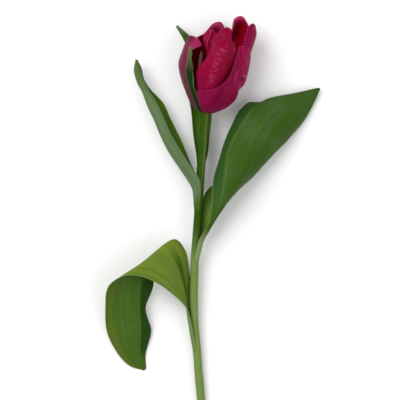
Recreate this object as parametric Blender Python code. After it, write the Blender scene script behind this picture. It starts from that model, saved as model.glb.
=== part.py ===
"""Parrot tulip, a single cut flower lying on its side.

The stem runs along +Y from the cut end to the bloom, +Z is up from the table and the
origin is the middle of the flower's footprint. Every leaf and petal is a thin closed
sheet drawn through a few rails: lines that run from its foot to its tip.
"""
import math

import bmesh
import bpy
import numpy as np
from mathutils import Vector

MM = 0.001

# Driving dimensions, in millimetres.
STEM_RADIUS = 3.5
CUT_END_RADIUS = 3.6
SEAT_GAP = 0.3
LEAF_THICKNESS = 1.0
LEAF_EDGE_THICKNESS = 0.62
PETAL_THICKNESS = 0.85
PETAL_EDGE_THICKNESS = 0.62
TABLE_SKIN = 0.7
CLASP_RADIUS = STEM_RADIUS + SEAT_GAP + LEAF_THICKNESS / 2

# The cup of the bloom: its foot, its lean to the right and how flat it lies.
BLOOM_FOOT = Vector((-6.4, 100.7, 22.0))
BLOOM_LEAN = math.radians(12)
CUP_RISE = 5.0
CUP_RISE_HEIGHT = 40.0
CUP_FLATNESS = 0.9
RECEPTACLE_TILT = 0.15

# The stem's centre line from the cut end to the bloom.
STEM_LINE = [
    (-5.5, -182.5, 3.6), (-7.0, -168.5, 3.7), (-8.5, -151.5, 3.9), (-10.0, -134.5, 4.4),
    (-11.5, -117.5, 5.1), (-12.8, -100.5, 6.0), (-14.0, -88.0, 6.8), (-15.0, -75.0, 7.9),
    (-15.5, -56.0, 9.5), (-15.0, -37.0, 11.3), (-14.3, -18.0, 13.1), (-12.8, 1.5, 14.8),
    (-11.4, 20.0, 16.4), (-10.3, 39.5, 18.0), (-9.1, 56.0, 19.4), (-8.0, 72.0, 20.6),
    (-7.0, 88.0, 21.6), (-5.8, 103.3, 22.1),
]


def spline(points, t):
    """Point at t, 0 to 1, of a smooth curve through the points."""
    points = np.asarray(points, dtype=float)
    place = np.clip(t, 0.0, 1.0) * (len(points) - 1)
    i = min(int(place), len(points) - 2)
    f = place - i
    before = points[i - 1] if i > 0 else 2 * points[i] - points[i + 1]
    after = points[i + 2] if i + 2 < len(points) else 2 * points[i + 1] - points[i]
    start, end = points[i], points[i + 1]
    slope_start, slope_end = (end - before) / 2, (after - start) / 2
    return ((2 * f**3 - 3 * f**2 + 1) * start + (f**3 - 2 * f**2 + f) * slope_start
            + (3 * f**2 - 2 * f**3) * end + (f**3 - f**2) * slope_end)


def smooth(edge0, edge1, value):
    """Rises smoothly from 0 at edge0 to 1 at edge1."""
    t = min(max((value - edge0) / (edge1 - edge0), 0.0), 1.0)
    return t * t * (3 - 2 * t)


def stem_centre(y):
    """Centre of the stem where it passes y."""
    line = np.array(STEM_LINE)
    return np.interp(y, line[:, 1], line[:, 0]), np.interp(y, line[:, 1], line[:, 2])


def foot(y, angle):
    """Point of a leaf's foot where it clasps the stem: 90 degrees is up, 180 is left."""
    x, z = stem_centre(y)
    turn = math.radians(angle)
    return (x + CLASP_RADIUS * math.cos(turn), y, z + CLASP_RADIUS * math.sin(turn))


def cup_point(height, azimuth, radius):
    """Point of the bloom: 0 degrees is right, 90 is down to the table, 270 is up."""
    turn = math.radians(azimuth)
    side = radius * math.cos(turn)
    x = BLOOM_FOOT.x + height * math.sin(BLOOM_LEAN) + side * math.cos(BLOOM_LEAN)
    y = BLOOM_FOOT.y + height * math.cos(BLOOM_LEAN) - side * math.sin(BLOOM_LEAN)
    z = BLOOM_FOOT.z + CUP_RISE * smooth(0, CUP_RISE_HEIGHT, height)
    z -= CUP_FLATNESS * radius * math.sin(turn)
    return Vector((x, y, z))


def leaf_middle(rails, columns, rows, waves):
    """Middle surface of a leaf, drawn as an arc through its near, keel and far rails."""
    near, keel, far = rails
    grid = []
    for j in range(rows + 1):
        v = j / rows
        a, k, b = spline(near, v), spline(keel, v), spline(far, v)
        half, lift = (b - a) / 2, (a + b) / 2 - k
        span = 2 * math.atan2(np.linalg.norm(lift), np.linalg.norm(half)) + 0.05
        row = []
        for i in range(columns + 1):
            u = 2 * i / columns - 1
            across = math.sin(span * u) / math.sin(span)
            along = (1 - math.cos(span * u)) / (1 - math.cos(span))
            row.append(Vector(k + half * across + lift * along))
        grid.append(row)
    normals = grid_normals(grid)
    for j, row in enumerate(grid):
        v = j / rows
        for i in range(columns + 1):
            u = 2 * i / columns - 1
            row[i] += normals[j][i] * waves(u, v)
    return grid


def petal_middle(rails, columns, rows, waves):
    """Middle surface of a petal, its rails given as height, azimuth and radius."""
    grid = []
    for j in range(rows + 1):
        v = j / rows
        across = [spline(rail, v) for rail in rails]
        row = []
        for i in range(columns + 1):
            height, azimuth, radius = spline(across, i / columns)
            radius += waves(2 * i / columns - 1, v)
            row.append(cup_point(height, azimuth, radius))
        grid.append(row)
    return grid


def grid_normals(grid):
    """Unit normal at every point of a grid."""
    rows, columns = len(grid), len(grid[0])
    normals = []
    for j in range(rows):
        row = []
        for i in range(columns):
            along = grid[min(j + 1, rows - 1)][i] - grid[max(j - 1, 0)][i]
            across = grid[j][min(i + 1, columns - 1)] - grid[j][max(i - 1, 0)]
            row.append(across.cross(along).normalized())
        normals.append(row)
    return normals


def sheet(name, grid, thickness, edge_thickness, material):
    """Closed thin solid round a grid, thinning to its margins, never below the table."""
    rows, columns = len(grid), len(grid[0])
    normals = grid_normals(grid)
    bm = bmesh.new()
    faces = []
    for side in (1, -1):
        layer = []
        for j in range(rows):
            row = []
            for i in range(columns):
                u = 2 * i / (columns - 1) - 1
                v = j / (rows - 1)
                fade = smooth(0, 0.5, 1 - abs(u)) * smooth(0, 0.2, 1 - v)
                half = (edge_thickness + (thickness - edge_thickness) * fade) / 2
                point = grid[j][i] + normals[j][i] * half * side
                floor = 0.0 if normals[j][i].z * side < 0 else TABLE_SKIN
                point.z = max(point.z, floor)
                row.append(bm.verts.new(point * MM))
            layer.append(row)
        faces.append(layer)
    top, under = faces
    for j in range(rows - 1):
        for i in range(columns - 1):
            a, b, c, d = top[j][i], top[j][i + 1], top[j + 1][i + 1], top[j + 1][i]
            bm.faces.new((a, b, c))
            bm.faces.new((a, c, d))
            a, b, c, d = under[j][i], under[j][i + 1], under[j + 1][i + 1], under[j + 1][i]
            bm.faces.new((c, b, a))
            bm.faces.new((d, c, a))
    rim = [(0, i) for i in range(columns)] + [(j, columns - 1) for j in range(1, rows)]
    rim += [(rows - 1, i) for i in range(columns - 2, -1, -1)]
    rim += [(j, 0) for j in range(rows - 2, 0, -1)]
    for (j, i), (k, m) in zip(rim, rim[1:] + rim[:1]):
        bm.faces.new((top[k][m], top[j][i], under[j][i]))
        bm.faces.new((top[k][m], under[j][i], under[k][m]))
    return finish(name, bm, material)


def tube(name, centres, radii, sides, material):
    """Closed round solid along a line of centres."""
    bm = bmesh.new()
    add_tube(bm, centres, radii, sides)
    return finish(name, bm, material)


def add_tube(bm, centres, radii, sides):
    """Adds a closed round solid along a line of centres to a mesh."""
    centres = [Vector(c) for c in centres]
    rings = []
    guide = Vector((0, 0, 1))
    for n, (centre, radius) in enumerate(zip(centres, radii)):
        ahead = centres[min(n + 1, len(centres) - 1)] - centres[max(n - 1, 0)]
        ahead.normalize()
        across = guide.cross(ahead).normalized()
        rise = ahead.cross(across)
        guide = rise
        ring = []
        for k in range(sides):
            turn = 2 * math.pi * (k + 0.5) / sides
            edge = across * math.cos(turn) + rise * math.sin(turn)
            ring.append(bm.verts.new((centre + edge * radius) * MM))
        rings.append(ring)
    for lower, upper in zip(rings, rings[1:]):
        for k in range(sides):
            m = (k + 1) % sides
            bm.faces.new((lower[k], lower[m], upper[m], upper[k]))
    bm.faces.new(rings[0][::-1])
    bm.faces.new(rings[-1])


def finish(name, bm, material):
    """Makes the object of a mesh, its faces turned outward."""
    bmesh.ops.recalc_face_normals(bm, faces=bm.faces)
    mesh = bpy.data.meshes.new(name)
    bm.to_mesh(mesh)
    bm.free()
    mesh.materials.append(material)
    obj = bpy.data.objects.new(name, mesh)
    bpy.context.collection.objects.link(obj)
    return obj


def skin(name, colour, roughness):
    """Plain plant skin of one colour."""
    material = bpy.data.materials.new(name)
    material.use_nodes = True
    shader = material.node_tree.nodes["Principled BSDF"]
    shader.inputs["Base Color"].default_value = (*colour, 1.0)
    shader.inputs["Roughness"].default_value = roughness
    shader.inputs["Metallic"].default_value = 0.0
    material.diffuse_color = (*colour, 1.0)
    return material


def stem_material():
    return skin("stem", (0.16, 0.24, 0.07), 0.5)


def leaf_material():
    return skin("leaf", (0.07, 0.14, 0.03), 0.45)


def outer_petal_material():
    return skin("petal_outer", (0.18, 0.012, 0.05), 0.4)


def inner_petal_material():
    return skin("petal_inner", (0.24, 0.003, 0.03), 0.35)


def pistil_material():
    return skin("pistil", (0.45, 0.5, 0.2), 0.6)


def stamen_material():
    return skin("stamen", (0.15, 0.06, 0.03), 0.8)


def stem(material):
    """Round stalk from the cut end to the receptacle that carries the petals."""
    steps = 40
    centres = [spline(STEM_LINE, n / steps) for n in range(steps + 1)]
    radii = [CUT_END_RADIUS + (STEM_RADIUS - CUT_END_RADIUS) * smooth(0, 0.2, n / steps)
             for n in range(steps + 1)]
    return tube("stem", centres, radii, 12, material)


def leaf(name, rails, rows, waves, material):
    """Leaf drawn through three rails."""
    grid = leaf_middle(rails, 8, rows, waves)
    return sheet(name, grid, LEAF_THICKNESS, LEAF_EDGE_THICKNESS, material)


def petal(name, rails, waves, material):
    """Petal drawn through its rails, from one margin to the other."""
    grid = petal_middle(rails, 14, 17, waves)
    return sheet(name, grid, PETAL_THICKNESS, PETAL_EDGE_THICKNESS, material)


def bract_leaf(material):
    """Slim upper leaf that clasps the stem and passes under the bloom to its left."""
    near = [foot(54, 172), (-13.3, 64.0, 16.0), (-15.6, 82.0, 10.5), (-17.7, 101.5, 8.0),
            (-21.0, 118.5, 7.0), (-23.5, 135.5, 6.5), (-23.5, 150.0, 8.0),
            (-23.0, 161.0, 9.0), (-30.6, 174.0, 9.0)]
    keel = [foot(54, 230), (-8.5, 64.0, 12.0), (-9.5, 82.0, 6.5), (-10.5, 101.5, 3.2),
            (-14.5, 118.5, 1.6), (-17.5, 135.5, 1.2), (-19.0, 150.0, 3.0),
            (-20.5, 162.0, 6.5), (-30.2, 175.0, 8.6)]
    far = [foot(54, 288), (-4.0, 64.0, 15.0), (-2.2, 82.0, 11.0), (-0.5, 101.5, 6.0),
           (-6.0, 117.5, 2.0), (-11.5, 134.5, 0.8), (-14.0, 150.0, 2.5),
           (-17.5, 164.0, 6.5), (-29.0, 175.4, 9.0)]

    def waves(u, v):
        return 0.25 * u * u * math.sin(19 * v)

    return leaf("bract_leaf", (near, keel, far), 24, waves, material)


def left_leaf(material):
    """Narrow leaf to the left, folded like a gutter along its keel."""
    near = [foot(22, 95), (-12.6, 35.0, 23.0), (-13.0, 45.5, 23.2), (-18.6, 57.0, 24.0),
            (-28.5, 72.5, 24.0), (-35.5, 84.5, 24.0), (-41.0, 97.5, 23.0),
            (-47.5, 111.0, 21.0), (-54.0, 121.5, 18.0), (-57.5, 129.5, 15.5),
            (-60.5, 138.5, 13.5), (-62.8, 145.4, 12.6)]
    keel = [foot(22, 180), (-15.4, 31.0, 17.3), (-17.4, 39.0, 16.5), (-27.5, 54.5, 15.0),
            (-36.0, 68.0, 14.5), (-42.2, 81.0, 14.0), (-47.7, 94.0, 13.5),
            (-53.2, 106.0, 13.0), (-58.7, 118.5, 12.5), (-63.2, 127.0, 12.0),
            (-65.6, 137.0, 11.6), (-64.6, 146.4, 11.8)]
    far = [foot(22, 265), (-12.5, 35.0, 12.7), (-13.2, 46.5, 13.0), (-17.8, 58.0, 14.0),
           (-22.9, 70.0, 14.0), (-28.9, 83.0, 14.0), (-34.8, 96.0, 13.5),
           (-41.0, 109.0, 13.0), (-51.8, 120.2, 12.5), (-57.0, 129.0, 11.6),
           (-59.6, 138.0, 10.8), (-63.2, 145.2, 11.2)]

    def waves(u, v):
        return 0.3 * max(u, 0) ** 2 * math.sin(23 * v + 1)

    return leaf("left_leaf", (near, keel, far), 28, waves, material)


def right_leaf(material):
    """Broad leaf to the right: its foot is a gutter round the stem, its blade spreads."""
    near = [foot(-19, 95), (-11.5, -8.0, 20.0), (-5.5, 2.5, 22.5), (-1.7, 11.5, 24.0),
            (0.0, 27.0, 25.0), (1.2, 44.0, 24.0), (4.4, 58.0, 20.5), (9.8, 75.0, 17.0),
            (16.2, 89.0, 14.0), (25.6, 105.5, 12.0), (45.0, 113.2, 9.5),
            (72.0, 118.3, 6.5), (90.4, 122.5, 5.0)]
    keel = [foot(-19, 0), (-7.6, -8.5, 13.6), (-3.4, 0.7, 15.5), (1.0, 9.8, 18.0),
            (9.2, 21.7, 20.0), (20.8, 34.4, 22.0), (32.0, 50.0, 23.5), (40.0, 65.5, 24.0),
            (48.0, 78.6, 22.5), (55.7, 90.5, 20.0), (65.0, 101.6, 15.5),
            (79.0, 112.4, 9.5), (91.6, 121.6, 4.6)]
    far = [foot(-19, -90), (-11.6, -8.0, 9.0), (-10.4, 3.0, 9.8), (-9.3, 15.0, 10.6),
           (-7.8, 27.0, 11.0), (-3.0, 36.5, 9.0), (9.0, 45.5, 5.0), (27.0, 54.5, 3.0),
           (43.8, 65.0, 1.5), (60.5, 75.6, 0.2), (74.2, 88.5, 1.5), (83.8, 104.5, 3.0),
           (91.0, 120.0, 4.2)]

    def waves(u, v):
        return 0.5 * u * u * math.sin(21 * v) * smooth(0.15, 0.5, v) * smooth(0, 0.2, 1 - v)

    return leaf("right_leaf", (near, keel, far), 30, waves, material)


def drooping_leaf(material):
    """Lowest leaf: rises from the stem to a crest, folds over it and hangs down."""
    near = [foot(-97, 95), (-18.5, -72.0, 15.0), (-23.5, -62.0, 18.5), (-33.0, -52.7, 25.0),
            (-45.2, -43.8, 31.0), (-60.0, -37.2, 35.0), (-75.5, -37.3, 36.5),
            (-88.0, -47.0, 31.0), (-90.4, -65.0, 18.5), (-89.0, -85.5, 7.0),
            (-81.0, -102.0, 3.0), (-70.0, -113.5, 1.5), (-58.4, -117.6, 0.3)]
    keel = [foot(-97, 180), (-20.5, -72.0, 10.0), (-21.5, -55.0, 11.5), (-25.0, -37.5, 15.5),
            (-30.0, -22.0, 25.0), (-40.0, -12.0, 30.0), (-54.5, -23.0, 28.5),
            (-65.0, -35.0, 26.0), (-68.5, -47.5, 22.0), (-69.0, -65.0, 17.0),
            (-67.5, -85.5, 12.0), (-64.5, -103.0, 6.0), (-57.2, -117.0, 0.9)]
    far = [foot(-97, 265), (-17.2, -66.5, 3.7), (-17.9, -49.5, 5.0), (-19.6, -29.5, 12.5),
           (-23.0, -15.5, 19.5), (-32.0, -9.0, 20.0), (-43.0, -17.0, 16.5),
           (-48.0, -30.0, 13.5), (-50.5, -47.0, 10.5), (-56.5, -65.0, 7.0),
           (-51.5, -83.5, 3.0), (-56.5, -102.5, 1.0), (-56.0, -115.6, 0.3)]

    def waves(u, v):
        return 0.4 * u * u * math.sin(25 * v + 0.5) * smooth(0.5, 0.7, v) * smooth(0, 0.2, 1 - v)

    return leaf("drooping_leaf", (near, keel, far), 30, waves, material)


def outer_left_petal(material):
    """Outer petal on the left; its front margin is the green band."""
    rails = [
        [(0.5, 240, 5.6), (3.3, 243, 10), (12, 239, 17.8), (24, 235, 25.3), (36, 231, 28.5),
         (48, 220, 27.5), (58, 208, 25.5)],
        [(0.5, 215, 5.6), (3.5, 218, 10), (12, 217, 17.5), (23, 215, 24.5), (35, 212, 29.5),
         (48, 207, 29), (60, 201, 26.5)],
        [(0.5, 190, 5.6), (3.5, 190, 10), (12, 190, 17.2), (23, 190, 24), (36, 189, 30),
         (48, 190, 29), (61, 192, 27)],
        [(0.5, 165, 5.6), (3.5, 164, 10.5), (12, 163, 18), (24, 162, 25.3), (36, 161, 29.5),
         (48, 163, 28.5), (60, 168, 27)],
        [(0.5, 140, 5.6), (3.5, 139, 11.5), (12, 138, 19), (24, 136, 26), (36, 136, 28.7),
         (48, 142, 28), (56, 152, 27)],
    ]

    def waves(u, v):
        return 0.4 * abs(u) * math.sin(17 * v) * smooth(0.2, 0.6, v)

    return petal("outer_left_petal", rails, waves, material)


def outer_front_petal(material):
    """Outer petal that wraps the front of the cup low down and rises on the right."""
    rails = [
        [(0.5, 256, 5.6), (3, 255, 10.5), (8, 250, 15), (12, 246, 18), (15, 244, 20),
         (17, 243, 21.4)],
        [(0.5, 268, 5.6), (4, 269, 12.5), (8, 270, 16.5), (12, 272, 19.5), (16, 274, 22),
         (19.5, 276, 23.6)],
        [(0.5, 283, 5.6), (5, 286, 14.5), (11, 290, 19.6), (17, 293, 23.6), (23, 295, 26.4),
         (30, 296, 28.3)],
        [(0.5, 300, 5.6), (7, 306, 16.5), (18, 311, 24), (30, 311, 27.8), (43, 310, 29.3),
         (56, 308, 28.4)],
        [(0.5, 318, 5.6), (7, 325, 16.5), (18, 330, 24), (31, 331, 27), (46, 329, 29.7),
         (62, 322, 29)],
        [(0.5, 335, 5.6), (7, 345, 16.5), (18, 351, 24), (31, 355, 26.5), (45, 355, 29.4),
         (57, 348, 28.6)],
        [(0.5, 352, 5.6), (7, 365, 16), (18, 371, 23.8), (31, 374, 26.5), (42, 374, 28.6),
         (52, 368, 28.4)],
    ]

    def waves(u, v):
        return 0.35 * math.sin(9 * u + 3) * math.sin(15 * v) * smooth(0.3, 0.8, v)

    return petal("outer_front_petal", rails, waves, material)


def outer_back_petal(material):
    """Tallest outer petal, at the back, hooded over at its tip."""
    rails = [
        [(0.5, 20, 5.6), (8, 24, 17), (20, 25, 25), (36, 27, 28.7), (50, 28, 29),
         (64, 30, 28), (74, 29, 27), (80, 24, 24)],
        [(0.5, 45, 5.6), (8, 46, 17), (20, 47, 25), (36, 47, 29.3), (50, 44, 29.3),
         (64, 40, 27.7), (77, 37, 23.5), (84, 30, 17.5)],
        [(0.5, 70, 5.6), (8, 70, 17), (20, 69, 25), (36, 68, 30), (50, 62, 29.8),
         (65, 51, 27.5), (79, 46, 21), (85.6, 41, 13)],
        [(0.5, 95, 5.6), (8, 93, 17), (20, 91, 25), (36, 89, 30), (50, 80, 29.5),
         (64, 62, 27.3), (76, 58, 22.5), (83.5, 58, 15.5)],
        [(0.5, 120, 5.6), (8, 116, 17), (20, 113, 24.5), (36, 109, 28.7), (48, 98, 28.7),
         (60, 74, 27.5), (69, 70, 25.5), (77, 72, 21.5)],
    ]

    def waves(u, v):
        return 0.25 * abs(u) * math.sin(15 * v) * smooth(0.5, 0.9, v)

    return petal("outer_back_petal", rails, waves, material)


def inner_front_petal(material):
    """Inner petal at the front: a full lobe, creased at its top, with a face above."""
    rails = [
        [(1.5, 215, 4.4), (8, 228, 11.5), (17, 238, 17.2), (26, 239, 23), (34, 242, 26.5),
         (43, 249, 28), (50, 256, 26.5), (57, 259, 20.5), (64, 254, 18.3), (70, 248, 17.3)],
        [(1.5, 232, 4.4), (8, 246, 12.2), (18, 258, 18.4), (27, 257, 24.8), (35, 257, 28.3),
         (44, 261, 30), (53, 266, 27.5), (60, 268, 20.3), (66, 264, 18.3), (73.5, 259, 16.8)],
        [(1.5, 250, 4.4), (8, 264, 12.8), (18.5, 278, 19), (27, 273, 25.2), (35, 271, 29),
         (45, 273, 30.5), (54.5, 276, 27.3), (60.5, 277, 20), (66.5, 274, 18), (75, 270, 16.3)],
        [(1.5, 268, 4.4), (8, 282, 13.2), (20, 292, 19.2), (28, 288, 24.8), (36, 287, 28.3),
         (47, 288, 29.8), (56, 287, 27), (61.5, 287, 20), (67, 286, 18), (74.5, 281, 16.5)],
        [(1.5, 285, 4.4), (8, 298, 13), (22, 303, 19.2), (30, 302, 23.6), (38, 304, 26.2),
         (49, 303, 27), (57.5, 297, 25.8), (62, 296, 20.5), (67, 296, 18.3), (73.5, 290, 17)],
    ]

    def waves(u, v):
        return 0.3 * math.sin(8 * u) * math.sin(12 * v) * smooth(0.4, 0.8, v)

    return petal("inner_front_petal", rails, waves, material)


def inner_right_petal(material):
    """Inner petal on the right, rolled at its top."""
    rails = [
        [(1.5, 330, 4.4), (10, 322, 14), (22, 318, 20.3), (36, 319, 23.6), (49, 322, 24.7),
         (60, 323, 25), (71, 323, 25), (82, 330, 23.5)],
        [(1.5, 345, 4.4), (10, 340, 14), (22, 338, 20.5), (36, 339, 24.5), (49, 340, 25.8),
         (60, 341, 27), (72, 342, 27.7), (82.3, 341, 25.6)],
        [(1.5, 360, 4.4), (10, 358, 14), (22, 358, 20.5), (36, 358, 24.8), (49, 358, 26.2),
         (60, 358, 27.8), (73, 358, 28.8), (80.5, 354, 26.9)],
        [(1.5, 378, 4.4), (10, 378, 14), (22, 378, 20.5), (36, 378, 24.5), (49, 377, 26),
         (60, 375, 26.8), (70, 372, 27.6), (77, 368, 27.3)],
        [(1.5, 400, 4.4), (10, 398, 13.5), (22, 396, 20), (36, 395, 24), (49, 393, 25.3),
         (58, 390, 25.5), (66, 386, 25.8), (71, 382, 26)],
    ]

    def waves(u, v):
        return 0.35 * abs(u) * math.sin(19 * v + 2) * smooth(0.5, 0.9, v)

    return petal("inner_right_petal", rails, waves, material)


def inner_back_petal(material):
    """Inner petal at the back on the left, its face turned to the opening."""
    rails = [
        [(1.5, 80, 4.4), (10, 82, 14), (24, 84, 22), (40, 86, 25.3), (54, 87, 25),
         (66, 87, 23), (77.5, 84, 21.5)],
        [(1.5, 105, 4.4), (10, 104, 13.5), (24, 104, 21.8), (40, 104, 25.3), (54, 103, 25),
         (66, 101, 23), (78.8, 99, 21)],
        [(1.5, 130, 4.4), (10, 128, 13), (24, 126, 21.3), (40, 125, 25), (54, 122, 24.5),
         (66, 119, 22.5), (75, 116, 21.3)],
        [(1.5, 155, 4.4), (10, 153, 12.3), (24, 151, 20.8), (40, 150, 24.8), (52, 148, 24.5),
         (60, 140, 23.5), (65.5, 130, 23)],
        [(1.5, 180, 4.4), (10, 178, 12), (24, 176, 20.3), (38, 175, 24), (48, 172, 24),
         (55, 166, 23.5), (60.5, 157, 23.5)],
    ]

    def waves(u, v):
        return 0.2 * abs(u) * math.sin(13 * v + 1) * smooth(0.5, 0.9, v)

    return petal("inner_back_petal", rails, waves, material)


def pistil(material):
    """Ovary on the middle of the receptacle, flared into the stigma."""
    profile = [(3.3, 1.6), (5, 1.9), (9, 2.9), (15, 3.3), (21, 3.0), (24, 2.5), (26, 2.6),
               (28, 3.6), (29.5, 3.9), (30.3, 2.6)]
    centres = [cup_point(height, 0, 0) for height, _ in profile]
    return tube("pistil", centres, [radius for _, radius in profile], 12, material)


def stamen(number, material):
    """One stamen: a slim filament with a long anther; the one at the left is taller."""
    azimuth = 30 + 60 * number
    reach = 1.5 if number == 3 else 1.0
    seat = 3.27 + RECEPTACLE_TILT * 2.75 * math.cos(math.radians(azimuth))
    path = [(seat, 2.75), (6, 4.1), (10, 6.0), (14 * reach, 7.2 * reach), (17 * reach, 7.8 * reach),
            (23 * reach, 8.6 * reach), (29 * reach, 9.2 * reach), (31 * reach, 9.4 * reach)]
    radii = [0.6, 0.65, 0.7, 0.6, 1.5, 1.7, 1.3, 0.6]
    centres = [cup_point(height, azimuth, radius) for height, radius in path]
    return tube(f"stamen_{number + 1}", centres, radii, 8, material)


def build():
    """Clears the scene and models every piece of the flower."""
    for obj in list(bpy.data.objects):
        bpy.data.objects.remove(obj, do_unlink=True)
    stem(stem_material())
    green = leaf_material()
    bract_leaf(green)
    left_leaf(green)
    right_leaf(green)
    drooping_leaf(green)
    outer = outer_petal_material()
    outer_left_petal(outer)
    outer_front_petal(outer)
    outer_back_petal(outer)
    inner = inner_petal_material()
    inner_front_petal(inner)
    inner_right_petal(inner)
    inner_back_petal(inner)
    pistil(pistil_material())
    pollen = stamen_material()
    for number in range(6):
        stamen(number, pollen)


build()
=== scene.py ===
import math

import bpy
import numpy as np
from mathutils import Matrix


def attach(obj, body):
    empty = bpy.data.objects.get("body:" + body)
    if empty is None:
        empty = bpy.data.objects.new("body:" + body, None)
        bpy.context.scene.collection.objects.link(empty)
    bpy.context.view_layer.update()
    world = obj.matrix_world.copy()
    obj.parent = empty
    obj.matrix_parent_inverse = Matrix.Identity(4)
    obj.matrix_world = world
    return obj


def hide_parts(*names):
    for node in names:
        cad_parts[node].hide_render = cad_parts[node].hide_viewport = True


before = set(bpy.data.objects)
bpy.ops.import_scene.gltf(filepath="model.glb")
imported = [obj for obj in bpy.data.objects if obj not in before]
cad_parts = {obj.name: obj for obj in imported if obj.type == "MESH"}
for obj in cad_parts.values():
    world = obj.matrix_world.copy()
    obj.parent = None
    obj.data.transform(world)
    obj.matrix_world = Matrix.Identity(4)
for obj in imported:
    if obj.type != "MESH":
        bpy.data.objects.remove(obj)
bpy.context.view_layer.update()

# A parrot tulip, one cut flower that lies on a pale surface. The camera, the table and the
# lamps are set in metres, and the flower in millimetres.
scene = bpy.context.scene

# Camera
# The flower is looked at square from above, its stem up the picture, from far enough
# away that hardly any perspective shows. The picture is 400 pixels of 0.85 mm wide.
VIEW_WIDTH = 0.340
VIEW_HEIGHT = 4.0
VIEW_CENTRE = (-0.0102, 0.0272)
SENSOR_MM = 36.0

view = bpy.data.cameras.new("camera")
view.sensor_width = SENSOR_MM
view.lens = SENSOR_MM * VIEW_HEIGHT / VIEW_WIDTH
camera = bpy.data.objects.new("camera", view)
camera.location = (*VIEW_CENTRE, VIEW_HEIGHT)
scene.collection.objects.link(camera)
scene.camera = camera
scene.view_settings.view_transform = "Standard"

# Surface and light
# A matt near-white table top, lit by a pale room that doesn't show in gloss, and by two
# large soft boxes: the brighter one from the upper left, a weaker one from the right.
TABLE_SIZE = 6.0
TABLE_DROP = 0.0002
TABLE_WHITE = (0.9, 0.9, 0.9)
ROOM_STRENGTH = 0.62
LAMP_TARGET = (0.0, 0.05, 0.0)


def give(tree, node, socket, value):
    """Feeds an input of a node with a plain value, a colour or a (node, socket) pair."""
    if isinstance(value, tuple) and isinstance(value[0], bpy.types.Node):
        tree.links.new(value[0].outputs[value[1]], node.inputs[socket])
    elif isinstance(value, tuple):
        node.inputs[socket].default_value = (*value, 1.0)
    else:
        node.inputs[socket].default_value = value


def add(tree, kind, inputs=None, **settings):
    """Adds a node to a tree, makes its settings and then feeds its inputs."""
    node = tree.nodes.new(kind)
    for setting, value in settings.items():
        setattr(node, setting, value)
    for socket, value in (inputs or {}).items():
        give(tree, node, socket, value)
    return node


class Paint:
    """Nodes of one finish, and the shader that they end in."""

    def __init__(self, name):
        self.material = bpy.data.materials.new(name)
        self.material.use_nodes = True
        self.tree = self.material.node_tree
        self.tree.nodes.clear()
        self.shader = self.add("ShaderNodeBsdfPrincipled")
        self.add("ShaderNodeOutputMaterial", {"Surface": (self.shader, 0)})

    def add(self, kind, inputs=None, **settings):
        return add(self.tree, kind, inputs, **settings)

    def finish(self, inputs):
        for socket, value in inputs.items():
            give(self.tree, self.shader, socket, value)
        return self.material


floor_mesh = bpy.data.meshes.new("table_top")
half = TABLE_SIZE / 2
corners = [(-half, -half), (half, -half), (half, half), (-half, half)]
floor_mesh.from_pydata([(x, y, -TABLE_DROP) for x, y in corners], [], [(0, 1, 2, 3)])
floor = bpy.data.objects.new("table_top", floor_mesh)
scene.collection.objects.link(floor)
floor_mesh.materials.append(Paint("table_white").finish({
    "Base Color": TABLE_WHITE, "Roughness": 0.9, "Specular IOR Level": 0.1}))

room = bpy.data.worlds.new("pale_room")
room.use_nodes = True
sky = room.node_tree.nodes["Background"]
sky.inputs["Color"].default_value = (1.0, 1.0, 1.0, 1.0)
sky.inputs["Strength"].default_value = ROOM_STRENGTH
room.cycles_visibility.glossy = False
scene.world = room


def soft_box(name, place, size, power):
    """Large soft lamp, its power in watts, that faces the flower."""
    lamp = bpy.data.lights.new(name, "AREA")
    lamp.shape = "SQUARE"
    lamp.size = size
    lamp.energy = power
    box = bpy.data.objects.new(name, lamp)
    box.location = place
    towards = np.array(LAMP_TARGET) - np.array(place)
    towards /= np.linalg.norm(towards)
    box.rotation_euler = (math.acos(-towards[2]), 0.0, math.atan2(-towards[0], towards[1]))
    box.visible_camera = False
    scene.collection.objects.link(box)


soft_box("soft_box_left", place=(-1.3, 1.0, 2.2), size=2.0, power=56.0)
soft_box("soft_box_right", place=(1.6, -0.9, 2.0), size=2.4, power=18.0)

# Stem
# One smooth round stalk, 7 mm thick, with fine fibres along it. It was cut square at its
# foot, and its top is the receptacle that the petals, stamens and pistil grow from.
MM = 0.001
STEM_RADIUS = 3.5
CUT_END_RADIUS = 3.6
CUT_FLARE_END = 0.2
STEM_UNEVENNESS = 0.06
STEM_WAVES = (37, 11)
STEM_SIDES = 40
STEM_RINGS = 260
CUT_FACE = -182.43
STEM_LINE = [
    (-5.5, -182.5, 3.6), (-7.0, -168.5, 3.7), (-8.5, -151.5, 3.9), (-10.0, -134.5, 4.4),
    (-11.5, -117.5, 5.1), (-12.8, -100.5, 6.0), (-14.0, -88.0, 6.8), (-15.0, -75.0, 7.9),
    (-15.5, -56.0, 9.5), (-15.0, -37.0, 11.3), (-14.3, -18.0, 13.1), (-12.8, 1.5, 14.8),
    (-11.4, 20.0, 16.4), (-10.3, 39.5, 18.0), (-9.1, 56.0, 19.4), (-8.0, 72.0, 20.6),
    (-7.0, 88.0, 21.6), (-5.8, 103.3, 22.1),
]
LOW_GREEN = ((0.11, 0.18, 0.03), (0.18, 0.26, 0.07))
HIGH_GREEN = ((0.012, 0.045, 0.0008), (0.042, 0.10, 0.004))
STRIP_GREEN = (0.13, 0.18, 0.04)
STEM_WAX = (0.20, 0.29, 0.15)
PITH = ((0.35, 0.42, 0.16), (0.55, 0.58, 0.32))


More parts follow.
